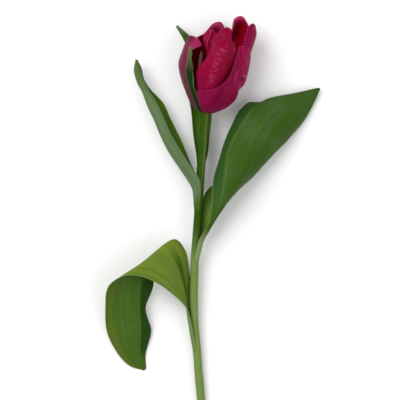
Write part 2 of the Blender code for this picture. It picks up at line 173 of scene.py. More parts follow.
def spline(points, t):
    """Points at t, an array from 0 to 1, of a smooth curve through the points."""
    points = np.asarray(points, dtype=float)
    place = np.clip(t, 0.0, 1.0) * (len(points) - 1)
    i = np.minimum(place.astype(int), len(points) - 2)
    f = (place - i).reshape((-1,) + (1,) * (points.ndim - 1))
    line = np.concatenate([2 * points[:1] - points[1:2], points, 2 * points[-1:] - points[-2:-1]])
    before, start, end, after = line[i], line[i + 1], line[i + 2], line[i + 3]
    return ((2 * f**3 - 3 * f**2 + 1) * start + (f**3 - 2 * f**2 + f) * (end - before) / 2
            + (3 * f**2 - 2 * f**3) * end + (f**3 - f**2) * (after - start) / 2)


def smooth(edge0, edge1, value):
    """Rises smoothly from 0 at edge0 to 1 at edge1."""
    t = np.clip((np.asarray(value, dtype=float) - edge0) / (edge1 - edge0), 0.0, 1.0)
    return t * t * (3 - 2 * t)


def geometry_tree(name, numbers, shape):
    """Geometry tree with named number inputs: shape draws it, then it is real and painted."""
    tree = bpy.data.node_groups.new(name, "GeometryNodeTree")
    tree.interface.new_socket("Geometry", in_out="OUTPUT", socket_type="NodeSocketGeometry")
    for label, kind in {"Geometry": "Geometry", "Material": "Material", **numbers}.items():
        tree.interface.new_socket(label, in_out="INPUT", socket_type="NodeSocket" + kind)
    start = tree.nodes.new("NodeGroupInput")
    real = add(tree, "GeometryNodeRealizeInstances", {0: shape(tree, start)})
    painted = add(tree, "GeometryNodeSetMaterial",
                  {"Geometry": (real, 0), "Material": (start, "Material")})
    add(tree, "NodeGroupOutput", {0: (painted, 0)})
    return tree


def sums(tree, operation, *values):
    """Math node on one or two values, each a number or a (node, socket) pair."""
    return add(tree, "ShaderNodeMath", dict(enumerate(values)), operation=operation), 0


def named(tree, name, kind="FLOAT"):
    """Reads a named attribute in a geometry tree."""
    return add(tree, "GeometryNodeInputNamedAttribute", {"Name": name}, data_type=kind), 0


def grow(name, mesh, tree, material, numbers):
    """Runs a geometry tree on a mesh and keeps the result as a plain smooth piece."""
    seed = bpy.data.objects.new(name + "_seed", mesh)
    scene.collection.objects.link(seed)
    modifier = seed.modifiers.new("grow", "NODES")
    modifier.node_group = tree
    values = {"Material": material, **numbers}
    for socket in tree.interface.items_tree:
        if socket.in_out == "INPUT" and socket.name in values:
            modifier[socket.identifier] = values[socket.name]
    ready = seed.evaluated_get(bpy.context.evaluated_depsgraph_get())
    result = bpy.data.meshes.new_from_object(ready)
    result.name = name
    result.shade_smooth()
    bpy.data.objects.remove(seed)
    bpy.data.meshes.remove(mesh)
    piece = bpy.data.objects.new(name, result)
    scene.collection.objects.link(piece)
    return piece


def stand_for(piece, node):
    """Puts a finished piece in the place of its CAD node."""
    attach(piece, "root")
    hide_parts(node)


def stalk(tree, start):
    """Draws a round stalk along a line of points that carry their radius."""
    line = add(tree, "GeometryNodeMeshToCurve", {"Mesh": (start, "Geometry")})
    ring = add(tree, "GeometryNodeCurvePrimitiveCircle",
               {"Resolution": (start, "Sides"), "Radius": 1.0})
    around = (tree.nodes.new("GeometryNodeInputPosition"), 0)
    rim = add(tree, "GeometryNodeStoreNamedAttribute",
              {"Geometry": (ring, 0), "Name": "round", "Value": around},
              data_type="FLOAT_VECTOR")
    skin = add(tree, "GeometryNodeCurveToMesh", {
        "Curve": (line, 0), "Profile Curve": (rim, 0), "Scale": named(tree, "radius_here"),
        "Fill Caps": True})
    return skin, 0


STALK = geometry_tree("round_stalk", {"Sides": "Int"}, stalk)


def line_mesh(name, centres, radii, attributes):
    """Line of points, given in millimetres, that carry their radius and further values."""
    mesh = bpy.data.meshes.new(name + "_line")
    count = len(centres)
    mesh.from_pydata((centres * MM).tolist(), [(n, n + 1) for n in range(count - 1)], [])
    for label, values in {"radius_here": radii * MM, **attributes}.items():
        mesh.attributes.new(label, "FLOAT", "POINT").data.foreach_set("value", values)
    return mesh


class PlantPaint(Paint):
    """Short hand for the nodes of a plant skin, whose values are (node, socket) pairs."""

    def attribute(self, name, socket="Fac"):
        return self.add("ShaderNodeAttribute", attribute_name=name), socket

    def place(self):
        return self.add("ShaderNodeTexCoord"), "Object"

    def math(self, operation, *values):
        return sums(self.tree, operation, *values)

    def times(self, first, *others):
        for other in others:
            first = self.math("MULTIPLY", first, other)
        return first

    def combine(self, *values):
        return self.add("ShaderNodeCombineXYZ", dict(enumerate(values))), 0

    def noise(self, vector, scale=1.0, detail=2.0, roughness=0.5, distortion=0.0):
        return self.add("ShaderNodeTexNoise", {
            "Vector": vector, "Scale": scale, "Detail": detail, "Roughness": roughness,
            "Distortion": distortion}), 0

    def ramp(self, value, low, high, to_low=0.0, to_high=1.0):
        return self.add("ShaderNodeMapRange", {
            "Value": value, "From Min": low, "From Max": high, "To Min": to_low,
            "To Max": to_high}, interpolation_type="SMOOTHSTEP"), 0

    def mix(self, share, first, second):
        return self.add("ShaderNodeMix", {0: share, 6: first, 7: second}, data_type="RGBA"), 2

    def bump(self, height, depth_mm, strength, before=None):
        inputs = {"Height": height, "Distance": depth_mm * MM, "Strength": strength}
        if before:
            inputs["Normal"] = before
        return self.add("ShaderNodeBump", inputs), 0


def stem_paint():
    """Green stalk: paler and greyer below, fibres along it, pale pith at the cut."""
    paint = PlantPaint("stem_skin")
    along = paint.attribute("along")
    around = paint.add("ShaderNodeSeparateXYZ", {0: paint.attribute("round", "Vector")})
    right, upright = (around, 0), (around, 1)
    streak = paint.noise(paint.combine(paint.times(right, 9.0), paint.times(upright, 9.0),
                                       paint.times(along, 5.0)), 1.0, 3.0, 0.6)
    cloud = paint.noise(paint.place(), 60.0, 3.0)
    colour = paint.mix(paint.ramp(along, 0.54, 0.67), paint.mix(streak, *LOW_GREEN),
                       paint.mix(streak, *HIGH_GREEN))
    strip = paint.times(paint.ramp(right, 0.1, 0.5), paint.ramp(right, 0.95, 0.75),
                        paint.ramp(along, 0.7, 0.85), 0.6)
    colour = paint.mix(strip, colour, STRIP_GREEN)
    wax = paint.times(paint.ramp(cloud, 0.45, 0.7), paint.ramp(along, 0.54, 0.67, 0.3, 0.04))
    colour = paint.mix(wax, colour, STEM_WAX)
    length = paint.add("ShaderNodeSeparateXYZ", {0: paint.place()})
    cut = paint.math("LESS_THAN", (length, 1), CUT_FACE * MM)
    pith = paint.mix(paint.noise(paint.place(), 1500.0), *PITH)
    return paint.finish({"Base Color": paint.mix(cut, colour, pith),
                         "Roughness": paint.ramp(streak, 0.2, 0.8, 0.36, 0.52),
                         "Normal": paint.bump(streak, 0.12, 0.6),
                         "Specular IOR Level": 0.04})


steps = np.linspace(0.0, 1.0, STEM_RINGS)
stem_centres = spline(STEM_LINE, steps)
stem_radii = CUT_END_RADIUS + (STEM_RADIUS - CUT_END_RADIUS) * smooth(0, CUT_FLARE_END, steps)
stem_radii += STEM_UNEVENNESS * np.sin(STEM_WAVES[0] * steps) * np.sin(STEM_WAVES[1] * steps)
stem_line = line_mesh("stem", stem_centres, stem_radii, {"along": steps})
stem = grow("stem_stalk", stem_line, STALK, stem_paint(), {"Sides": STEM_SIDES})
stand_for(stem, "stem")

# Slim upper leaf
# A narrow leaf of the same green sheet as the others: its foot clasps the stem below the
# bloom, and it passes under the bloom and ends in a pale point at the upper left.
SHEATH_RADIUS = 3.35
SHEATH_DROP = 5.0
LEAF_THICKNESS = 0.9
LEAF_EDGE_THICKNESS = 0.28
LEAST_ARC = 0.05
EDGE_TAPER = 0.35
TIP_TAPER = 0.12
FOOT_TAPER = 0.05
LEAST_HEIGHT_OVER = 0.5
LEAST_HEIGHT_UNDER = 0.05
RIB_SWAY = 1.5
CALM_FOOT = 0.2
DEEP_GREEN = (0.03, 0.085, 0.008)
LEAF_WAX = (0.11, 0.19, 0.085)
VEIN_GREEN = (0.14, 0.23, 0.07)
LEAF_MARGIN = (0.26, 0.36, 0.16)


def foot(y, angle):
    """Point of a leaf's foot on the stem: 90 degrees is up, 180 is left."""
    line = np.array(STEM_LINE)
    y -= SHEATH_DROP
    x = np.interp(y, line[:, 1], line[:, 0])
    z = np.interp(y, line[:, 1], line[:, 2])
    turn = math.radians(angle)
    return (x + SHEATH_RADIUS * math.cos(turn), y, z + SHEATH_RADIUS * math.sin(turn))


def grid_normals(grid):
    """Unit normal at every point of a grid of points."""
    along = np.gradient(grid, axis=0)
    across = np.gradient(grid, axis=1)
    normal = np.cross(across, along)
    return normal / np.maximum(np.linalg.norm(normal, axis=2, keepdims=True), 1e-9)


def leaf_middle(rails, columns, rows, waves):
    """Middle surface of a leaf: arcs from its near rail through its keel to its far rail."""
    v = np.linspace(0.0, 1.0, rows + 1)
    near, keel, far = (spline(rail, v)[:, None, :] for rail in rails)
    u = np.linspace(-1.0, 1.0, columns + 1)[None, :, None]
    half, lift = (far - near) / 2, (near + far) / 2 - keel
    span = 2 * np.arctan2(np.linalg.norm(lift, axis=2, keepdims=True),
                          np.linalg.norm(half, axis=2, keepdims=True)) + LEAST_ARC
    grid = keel + half * np.sin(span * u) / np.sin(span)
    grid = grid + lift * (1 - np.cos(span * u)) / (1 - np.cos(span))
    return grid + grid_normals(grid) * waves(u, v[:, None, None])


def blade(name, grid, thickness, edge_thickness):
    """Closed thin mesh round a grid, tapering to its margins, that keeps its own places."""
    rows, columns = grid.shape[:2]
    normals = grid_normals(grid)
    v, u = np.meshgrid(np.linspace(0, 1, rows), np.linspace(-1, 1, columns), indexing="ij")
    fade = smooth(0, EDGE_TAPER, 1 - np.abs(u)) * smooth(0, TIP_TAPER, 1 - v)
    fade = fade * smooth(0, FOOT_TAPER, v)
    half = ((edge_thickness + (thickness - edge_thickness) * fade) / 2)[..., None]
    layers = []
    for side in (1, -1):
        layer = grid + normals * half * side
        lowest = np.where(normals[..., 2] * side < 0, LEAST_HEIGHT_UNDER, LEAST_HEIGHT_OVER)
        layer[..., 2] = np.maximum(layer[..., 2], lowest)
        layers.append(layer.reshape(-1, 3))
    points = np.concatenate(layers) * MM
    index = np.arange(rows * columns).reshape(rows, columns)
    a, b = index[:-1, :-1].ravel(), index[:-1, 1:].ravel()
    c, d = index[1:, 1:].ravel(), index[1:, :-1].ravel()
    shift = rows * columns
    top = np.stack([a, b, c, d], axis=1)
    under = np.stack([d, c, b, a], axis=1) + shift
    rim = np.concatenate([index[0, :], index[1:, -1], index[-1, -2::-1], index[-2:0:-1, 0]])
    after = np.roll(rim, -1)
    edge = np.stack([after, rim, rim + shift, after + shift], axis=1)
    mesh = bpy.data.meshes.new(name + "_blade")
    mesh.from_pydata(points.tolist(), [], np.concatenate([top, under, edge]).tolist())
    values = {"across": np.tile(u.ravel(), 2), "along": np.tile(v.ravel(), 2),
              "side": np.repeat([1.0, -1.0], shift)}
    for label, numbers in values.items():
        mesh.attributes.new(label, "FLOAT", "POINT").data.foreach_set("value", numbers)
    lift = mesh.attributes.new("lift", "FLOAT_VECTOR", "POINT")
    lift.data.foreach_set("vector", np.tile(normals.reshape(-1, 3), (2, 1)).ravel())
    return mesh


def relief(tree, start):
    """Raises ribs along a blade and puckers it, both faces alike, fading to the foot."""
    wander = add(tree, "ShaderNodeTexNoise",
                 {"Scale": (start, "Pucker scale"), "W": (start, "Seed"), "Detail": 1.0},
                 noise_dimensions="4D")
    fine = add(tree, "ShaderNodeTexNoise",
               {"Scale": (start, "Fine scale"), "W": (start, "Seed"), "Detail": 2.0},
               noise_dimensions="4D")
    phase = sums(tree, "MULTIPLY", named(tree, "across"), (start, "Ribs"))
    sway = sums(tree, "MULTIPLY", (wander, 0), RIB_SWAY)
    rib = sums(tree, "SINE", sums(tree, "ADD", phase, sway))
    rib = sums(tree, "MULTIPLY", rib, (start, "Rib height"))
    pucker = sums(tree, "SUBTRACT", (wander, 0), 0.5)
    pucker = sums(tree, "MULTIPLY", pucker, (start, "Pucker depth"))
    grain = sums(tree, "SUBTRACT", (fine, 0), 0.5)
    grain = sums(tree, "MULTIPLY", grain, (start, "Fine depth"))
    height = sums(tree, "ADD", sums(tree, "ADD", rib, pucker), grain)
    fade = add(tree, "ShaderNodeMapRange", {"Value": named(tree, "along"), "From Max": CALM_FOOT})
    height = sums(tree, "MULTIPLY", sums(tree, "MULTIPLY", height, (fade, 0)), MM)
    push = add(tree, "ShaderNodeVectorMath",
               {0: named(tree, "lift", "FLOAT_VECTOR"), "Scale": height}, operation="SCALE")
    return add(tree, "GeometryNodeSetPosition",
               {"Geometry": (start, "Geometry"), "Offset": (push, 0)}), 0


RELIEF = geometry_tree("blade_relief", {
    "Ribs": "Float", "Rib height": "Float", "Pucker scale": "Float", "Pucker depth": "Float",
    "Fine scale": "Float", "Fine depth": "Float", "Seed": "Float"}, relief)


def bent(grid, bend):
    """Grid moved by bend, which gives x, y and z from the places across and along it."""
    rows, columns = grid.shape[:2]
    across, along = np.meshgrid(np.linspace(-1, 1, columns), np.linspace(0, 1, rows))
    return grid + np.stack(np.broadcast_arrays(*bend(across, along)), axis=-1)


def keep_above_table(piece):
    """Lifts any point of a piece that relief pushed below the table."""
    mesh = piece.data
    points = np.empty(len(mesh.vertices) * 3)
    mesh.vertices.foreach_get("co", points)
    points[2::3] = np.maximum(points[2::3], 0.0)
    mesh.vertices.foreach_set("co", points)
    mesh.update()


def fibre(paint, across_scale, along_scale, side=0.0, detail=2.0, roughness=0.5,
          distortion=0.0):
    """Noise drawn out along a blade, different on its two faces where side is given."""
    place = paint.combine(paint.times(paint.attribute("across"), across_scale),
                          paint.times(paint.attribute("along"), along_scale), side)
    return paint.noise(place, 1.0, detail, roughness, distortion)


def leaf_paint(name, inner_side, inner, outer, tip, wax, foot_colour, foot_end, marks=None):
    """Leaf skin: parallel veins, cloudy wax bloom, thin pale margin, its own tip and foot."""
    paint = PlantPaint(name)
    across, along = paint.attribute("across"), paint.attribute("along")
    side = paint.times(paint.attribute("side"), inner_side)
    veins = fibre(paint, 26.0, 2.2, side, 3.0, 0.55)
    broad = fibre(paint, 5.0, 2.0, side)
    cloud = paint.noise(paint.place(), 45.0, 4.0, 0.55)
    colour = paint.mix(paint.ramp(side, -0.2, 0.2), paint.mix(veins, *outer),
                       paint.mix(veins, *inner))
    colour = paint.mix(paint.times(paint.ramp(broad, 0.35, 0.7), 0.35), colour, DEEP_GREEN)
    colour = paint.mix(paint.times(paint.ramp(cloud, 0.45, 0.75), wax), colour, LEAF_WAX)
    colour = paint.mix(paint.ramp(along, 0.9, 1.0, 0.0, 0.6), colour, tip)
    hair = paint.ramp(fibre(paint, 60.0, 2.0, side), 0.5, 0.68)
    colour = paint.mix(paint.times(hair, 0.16), colour, VEIN_GREEN)
    if marks:
        colour = marks(paint, across, along, broad, colour)
    colour = paint.mix(paint.ramp(along, foot_end, 0.3 * foot_end), colour, foot_colour)
    margin = paint.ramp(paint.math("ABSOLUTE", across), 0.972, 0.995)
    colour = paint.mix(paint.times(margin, 0.55), colour, LEAF_MARGIN)
    fine = fibre(paint, 70.0, 6.0, side)
    return paint.finish({"Base Color": colour,
                         "Roughness": paint.ramp(cloud, 0.3, 0.7, 0.38, 0.56),
                         "Normal": paint.bump(fine, 0.10, 0.45, paint.bump(veins, 0.35, 0.5)),
                         "Specular IOR Level": 0.08})


def grow_blade(node, grid, thickness, edge_thickness, material, numbers):
    """Grows a thin blade with its relief, and puts it in the place of its CAD node."""
    mesh = blade(node, grid, thickness, edge_thickness)
    piece = grow(node + "_blade", mesh, RELIEF, material, numbers)
    keep_above_table(piece)
    stand_for(piece, node)


def leaf(node, rails, columns, rows, waves, material, numbers, bend=None):
    """One leaf: its middle surface, drawn, waved and bent, then grown into a blade."""
    grid = leaf_middle(rails, columns, rows, waves)
    if bend:
        grid = bent(grid, bend)
    grow_blade(node, grid, LEAF_THICKNESS, LEAF_EDGE_THICKNESS, material, numbers)


bract_rails = [
    [foot(54, 172), (-13.3, 64.0, 16.0), (-15.6, 82.0, 10.5), (-17.7, 101.5, 8.0),
     (-21.0, 118.5, 7.0), (-23.5, 135.5, 6.5), (-23.5, 150.0, 8.0), (-23.0, 161.0, 9.0),
     (-30.6, 174.0, 9.0)],
    [foot(54, 230), (-8.5, 64.0, 12.0), (-9.5, 82.0, 6.5), (-10.5, 101.5, 3.2),
     (-14.5, 118.5, 1.6), (-17.5, 135.5, 1.2), (-19.0, 150.0, 3.0), (-20.5, 162.0, 6.5),
     (-30.2, 175.0, 8.6)],
    [foot(54, 288), (-4.0, 64.0, 15.0), (-2.2, 82.0, 11.0), (-0.5, 101.5, 6.0),
     (-6.0, 117.5, 2.0), (-11.5, 134.5, 0.8), (-14.0, 150.0, 2.5), (-17.5, 164.0, 6.5),
     (-29.0, 175.4, 9.0)],
]
bract_paint = leaf_paint(
    "bract_leaf_skin", inner_side=1.0, inner=((0.03, 0.085, 0.001), (0.06, 0.14, 0.004)),
    outer=((0.03, 0.08, 0.006), (0.06, 0.12, 0.015)), tip=(0.20, 0.27, 0.15), wax=0.1,
    foot_colour=(0.04, 0.10, 0.005), foot_end=0.1)
leaf("bract_leaf", bract_rails, columns=40, rows=130,
     waves=lambda u, v: 0.25 * u * u * np.sin(19 * v), material=bract_paint,
     numbers={"Ribs": 32.0, "Rib height": 0.07, "Pucker scale": 40.0, "Pucker depth": 0.5,
              "Fine scale": 300.0, "Fine depth": 0.1, "Seed": 1.0})

# Left leaf
# A narrow leaf folded lengthwise like a gutter: its greyer outside shows on the left half,
# greener near the tip, and its bright inside on the right. It clasps the stem from the left.
left_rails = [
    [foot(22, 80), (-9.6, 34.0, 21.6), (-10.6, 45.0, 22.8), (-18.6, 57.0, 24.0),
     (-28.5, 72.5, 24.0), (-35.5, 84.5, 24.0), (-41.0, 97.5, 23.0), (-47.5, 111.0, 21.0),
     (-54.0, 121.5, 18.0), (-57.5, 129.5, 15.5), (-60.5, 138.5, 13.5), (-62.8, 145.4, 12.6)],
    [foot(22, 180), (-15.4, 31.0, 17.3), (-17.4, 39.0, 16.5), (-27.5, 54.5, 15.0),
     (-36.0, 68.0, 14.5), (-42.2, 81.0, 14.0), (-47.7, 94.0, 13.5), (-53.2, 106.0, 13.0),
     (-58.7, 118.5, 12.5), (-63.2, 127.0, 12.0), (-65.6, 137.0, 11.6), (-64.6, 146.4, 11.8)],
    [foot(22, 265), (-12.5, 35.0, 12.7), (-13.2, 46.5, 13.0), (-17.8, 58.0, 14.0),
     (-22.9, 70.0, 14.0), (-28.9, 83.0, 14.0), (-34.8, 96.0, 13.5), (-41.0, 109.0, 13.0),
     (-51.8, 120.2, 12.5), (-57.0, 129.0, 11.6), (-59.6, 138.0, 10.8), (-63.2, 145.2, 11.2)],
]


def green_tip(paint, across, along, broad, colour):
    """Loses its grey bloom towards the tip."""
    return paint.mix(paint.ramp(along, 0.55, 0.9, 0.0, 0.75), colour,
                     paint.mix(broad, (0.045, 0.10, 0.012), (0.075, 0.145, 0.03)))


left_paint = leaf_paint(
    "left_leaf_skin", inner_side=1.0, inner=((0.06, 0.155, 0.003), (0.105, 0.235, 0.010)),
    outer=((0.07, 0.12, 0.045), (0.14, 0.195, 0.10)), tip=(0.045, 0.10, 0.015), wax=0.4,
    foot_colour=(0.05, 0.11, 0.01), foot_end=0.1, marks=green_tip)
leaf("left_leaf", left_rails, columns=48, rows=150,
     waves=lambda u, v: 0.3 * np.maximum(u, 0) ** 2 * np.sin(23 * v + 1), material=left_paint,
     numbers={"Ribs": 36.0, "Rib height": 0.07, "Pucker scale": 35.0, "Pucker depth": 0.6,
              "Fine scale": 300.0, "Fine depth": 0.1, "Seed": 2.0})

# Right leaf
# The broadest leaf. Its foot is a gutter round the stem, and its blade turns over to the
# right, so that its waxy outside is seen from above. Its upper margin has a small notch.
right_rails = [
    [foot(-19, 95), (-11.5, -8.0, 20.0), (-5.5, 2.5, 22.5), (-1.7, 11.5, 24.0),
     (0.0, 27.0, 25.0), (1.2, 44.0, 24.0), (4.4, 58.0, 20.5), (9.8, 75.0, 17.0),
     (16.2, 89.0, 14.0), (25.6, 105.5, 12.0), (45.0, 113.2, 9.5), (72.0, 118.3, 6.5),
     (90.4, 122.5, 5.0)],
    [foot(-19, 0), (-7.6, -8.5, 13.6), (-3.4, 0.7, 15.5), (1.0, 9.8, 18.0),
     (9.2, 21.7, 20.0), (20.8, 34.4, 22.0), (32.0, 50.0, 23.5), (40.0, 65.5, 24.0),
     (48.0, 78.6, 22.5), (55.7, 90.5, 20.0), (65.0, 101.6, 15.5), (79.0, 112.4, 9.5),
     (91.6, 121.6, 4.6)],
    [foot(-19, -90), (-11.6, -8.0, 9.0), (-10.4, 3.0, 9.8), (-9.3, 15.0, 10.6),
     (-7.8, 27.0, 11.0), (-3.0, 36.5, 9.0), (9.0, 45.5, 5.0), (27.0, 54.5, 3.0),
     (43.8, 65.0, 1.5), (60.5, 75.6, 0.2), (74.2, 88.5, 1.5), (83.8, 104.5, 3.0),
     (91.0, 120.0, 4.2)],
]


def hill(middle, width, value):
    """Smooth hill of height 1 at the middle, gone a few widths away."""
    return np.exp(-((value - middle) / width) ** 2)


def right_waves(u, v):
    """Waves of the margins, calm at the foot and the tip."""
    return 0.5 * u * u * np.sin(21 * v) * smooth(0.15, 0.5, v) * smooth(0, 0.2, 1 - v)


def right_edge(u, v):
    """Small bump and notch where the upper margin turns."""
    rise = 1.5 * hill(0.775, 0.02, v) - 1.3 * hill(0.82, 0.016, v)
    return 0, rise * smooth(-0.7, -1.0, u), 0


def streaks(paint, across, along, broad, colour):
    """Yellower streaks along the veins, a bluer far end, painted shade on a folded strip at the
    near margin.
    """
    streak = fibre(paint, 13.0, 1.6, 0.0, 3.0, 0.6)
    yellow = paint.times(paint.ramp(streak, 0.5, 0.66), paint.ramp(along, 0.25, 0.45),
                         paint.ramp(along, 0.98, 0.8), 0.4)
    colour = paint.mix(yellow, colour, (0.045, 0.12, 0.002))
    blue = paint.times(paint.ramp(broad, 0.4, 0.65), paint.ramp(along, 0.5, 0.8),
                       paint.ramp(across, 0.5, -0.3), 0.55)
    colour = paint.mix(blue, colour, (0.028, 0.085, 0.028))
    # Painted shade on the folded strip at the near margin.
    strip = paint.times(paint.ramp(across, -0.70, -0.76), paint.ramp(along, 0.3, 0.42),
                        paint.ramp(along, 0.8, 0.7), 0.6)
    colour = paint.mix(strip, colour, (0.018, 0.062, 0.014))
    line = paint.times(paint.ramp(across, -0.72, -0.69), paint.ramp(across, -0.62, -0.67),
                       paint.ramp(along, 0.25, 0.4), paint.ramp(along, 0.8, 0.7), 0.3)
    return paint.mix(line, colour, (0.08, 0.165, 0.04))


right_paint = leaf_paint(
    "right_leaf_skin", inner_side=-1.0, inner=((0.09, 0.17, 0.008), (0.15, 0.25, 0.03)),
    outer=((0.022, 0.062, 0.002), (0.048, 0.105, 0.010)), tip=(0.04, 0.10, 0.008), wax=0.2,
    foot_colour=(0.19, 0.26, 0.10), foot_end=0.2, marks=streaks)
leaf("right_leaf", right_rails, columns=90, rows=190, waves=right_waves, material=right_paint,
     numbers={"Ribs": 60.0, "Rib height": 0.08, "Pucker scale": 30.0, "Pucker depth": 1.0,
              "Fine scale": 250.0, "Fine depth": 0.12, "Seed": 3.0}, bend=right_edge)

# Drooping leaf
# The lowest leaf. It rises from the stem to a crest, folds over it and hangs to the left,
# where its yellow-green inside gives way to the darker hanging end.
drooping_rails = [
    [foot(-97, 95), (-18.5, -72.0, 15.0), (-23.5, -62.0, 18.5), (-33.0, -52.7, 25.0),
     (-45.2, -43.8, 31.0), (-60.0, -37.2, 35.0), (-75.5, -37.3, 36.5), (-88.0, -47.0, 31.0),
     (-90.4, -65.0, 18.5), (-89.0, -85.5, 7.0), (-81.0, -102.0, 3.0), (-70.0, -113.5, 1.5),
     (-58.4, -117.6, 0.3)],
    [foot(-97, 180), (-20.5, -72.0, 10.0), (-21.5, -55.0, 11.5), (-25.0, -37.5, 15.5),
     (-30.0, -22.0, 25.0), (-40.0, -12.0, 30.0), (-54.5, -23.0, 28.5), (-65.0, -35.0, 26.0),
     (-68.5, -47.5, 22.0), (-69.0, -65.0, 17.0), (-67.5, -85.5, 12.0), (-64.5, -103.0, 6.0),
     (-57.2, -117.0, 0.9)],
    [foot(-97, 265), (-17.2, -66.5, 3.7), (-17.9, -49.5, 5.0), (-19.6, -29.5, 12.5),
     (-23.0, -15.5, 19.5), (-32.0, -9.0, 20.0), (-43.0, -17.0, 16.5), (-48.0, -30.0, 13.5),
     (-50.5, -47.0, 10.5), (-56.5, -65.0, 7.0), (-51.5, -83.5, 3.0), (-56.5, -102.5, 1.0),
     (-56.0, -115.6, 0.3)],
]


def drooping_waves(u, v):
    """Waves of the hanging end's margins, calm again at its tip."""
    return 0.4 * u * u * np.sin(25 * v + 0.5) * smooth(0.5, 0.7, v) * smooth(0, 0.2, 1 - v)


def keel_shade(paint, across, along, broad, colour):
    """Painted shade in deep green along the keel of the rise and on the turned strip of the
    hanging end.
    """
    # Painted shade in the valley along the keel of the rise.
    keel = paint.times(paint.ramp(across, -0.22, -0.08), paint.ramp(across, 0.25, 0.08),
                       paint.ramp(along, 0.40, 0.30), paint.ramp(along, 0.08, 0.14), 0.85)
    colour = paint.mix(keel, colour, (0.035, 0.085, 0.001))
    # Painted shade on the strip of the hanging end that is turned from the light.
    turned = paint.times(paint.ramp(across, 0.34, 0.44), paint.ramp(along, 0.6, 0.66),
                         paint.ramp(along, 0.97, 0.9), 0.85)
    colour = paint.mix(turned, colour, (0.010, 0.048, 0.001))
    brown = paint.times(paint.ramp(across, -0.45, -0.8), paint.ramp(along, 0.55, 0.65), 0.4)
    return paint.mix(brown, colour, (0.12, 0.13, 0.012))


drooping_paint = leaf_paint(
    "drooping_leaf_skin", inner_side=1.0, inner=((0.085, 0.14, 0.003), (0.18, 0.255, 0.03)),
    outer=((0.03, 0.085, 0.004), (0.068, 0.135, 0.013)), tip=(0.07, 0.13, 0.01), wax=0.12,
    foot_colour=(0.14, 0.21, 0.06), foot_end=0.2, marks=keel_shade)
leaf("drooping_leaf", drooping_rails, columns=80, rows=190, waves=drooping_waves,
     material=drooping_paint,
     numbers={"Ribs": 50.0, "Rib height": 0.08, "Pucker scale": 30.0, "Pucker depth": 0.8,
              "Fine scale": 250.0, "Fine depth": 0.12, "Seed": 4.0})

# Outer left petal
# One of the three outer petals, thin satin sheets that grow from the rim of the
# receptacle. It is dull purple-pink outside, its front margin is a wavy green band left
# from the bud, and its tip curls over the opening.
BLOOM_FOOT = (-6.4, 100.7, 22.0)
BLOOM_LEAN = math.radians(12)
CUP_RISE = 5.0
CUP_RISE_HEIGHT = 40.0
CUP_FLATNESS = 0.9
PETAL_THICKNESS = 0.7
PETAL_EDGE_THICKNESS = 0.3
CORNER_CUT = 0.055
CORNER_POWER = 4.5
PETAL_COLUMNS = 110
PETAL_ROWS = 150
PETAL_RELIEF = {"Ribs": 60.0, "Rib height": 0.05, "Pucker scale": 60.0, "Pucker depth": 0.6,
                "Fine scale": 400.0, "Fine depth": 0.1}
# Painted shade deep in the cup, towards the foot of each petal's inner face.
PAINTED_DEPTH_SHADE = (0.08, 0.0002, 0.003)
BACK_BLUSH = (0.24, 0.008, 0.07)
# Painted highlight where the thin petal edges catch the light.
PAINTED_EDGE_HIGHLIGHT = (0.42, 0.06, 0.17)


def cup_points(height, azimuth, radius):
    """Points of the bloom: 0 degrees is right, 90 is down to the table, 270 is up."""
    turn = np.radians(azimuth)
    side = radius * np.cos(turn)
    x = BLOOM_FOOT[0] + height * math.sin(BLOOM_LEAN) + side * math.cos(BLOOM_LEAN)
    y = BLOOM_FOOT[1] + height * math.cos(BLOOM_LEAN) - side * math.sin(BLOOM_LEAN)
    z = BLOOM_FOOT[2] + CUP_RISE * smooth(0, CUP_RISE_HEIGHT, height)
    return np.stack([x, y, z - CUP_FLATNESS * radius * np.sin(turn)], axis=-1)


def petal_middle(rails, waves):
    """Middle surface of a petal, its rails given as height, azimuth and radius."""
    v = np.linspace(0.0, 1.0, PETAL_ROWS + 1)
    u = np.linspace(-1.0, 1.0, PETAL_COLUMNS + 1)
    lines = np.stack([spline(rail, v) for rail in rails])
    surface = spline(lines, (u + 1) / 2).transpose(1, 0, 2)
    for column, place in enumerate(u):
        rounded = v * (1 - CORNER_CUT * abs(place) ** CORNER_POWER)
        for value in range(3):
            surface[:, column, value] = np.interp(rounded, v, surface[:, column, value])
    radius = surface[..., 2] + waves(u[None, :], v[:, None])
    return cup_points(surface[..., 0], surface[..., 1], radius)


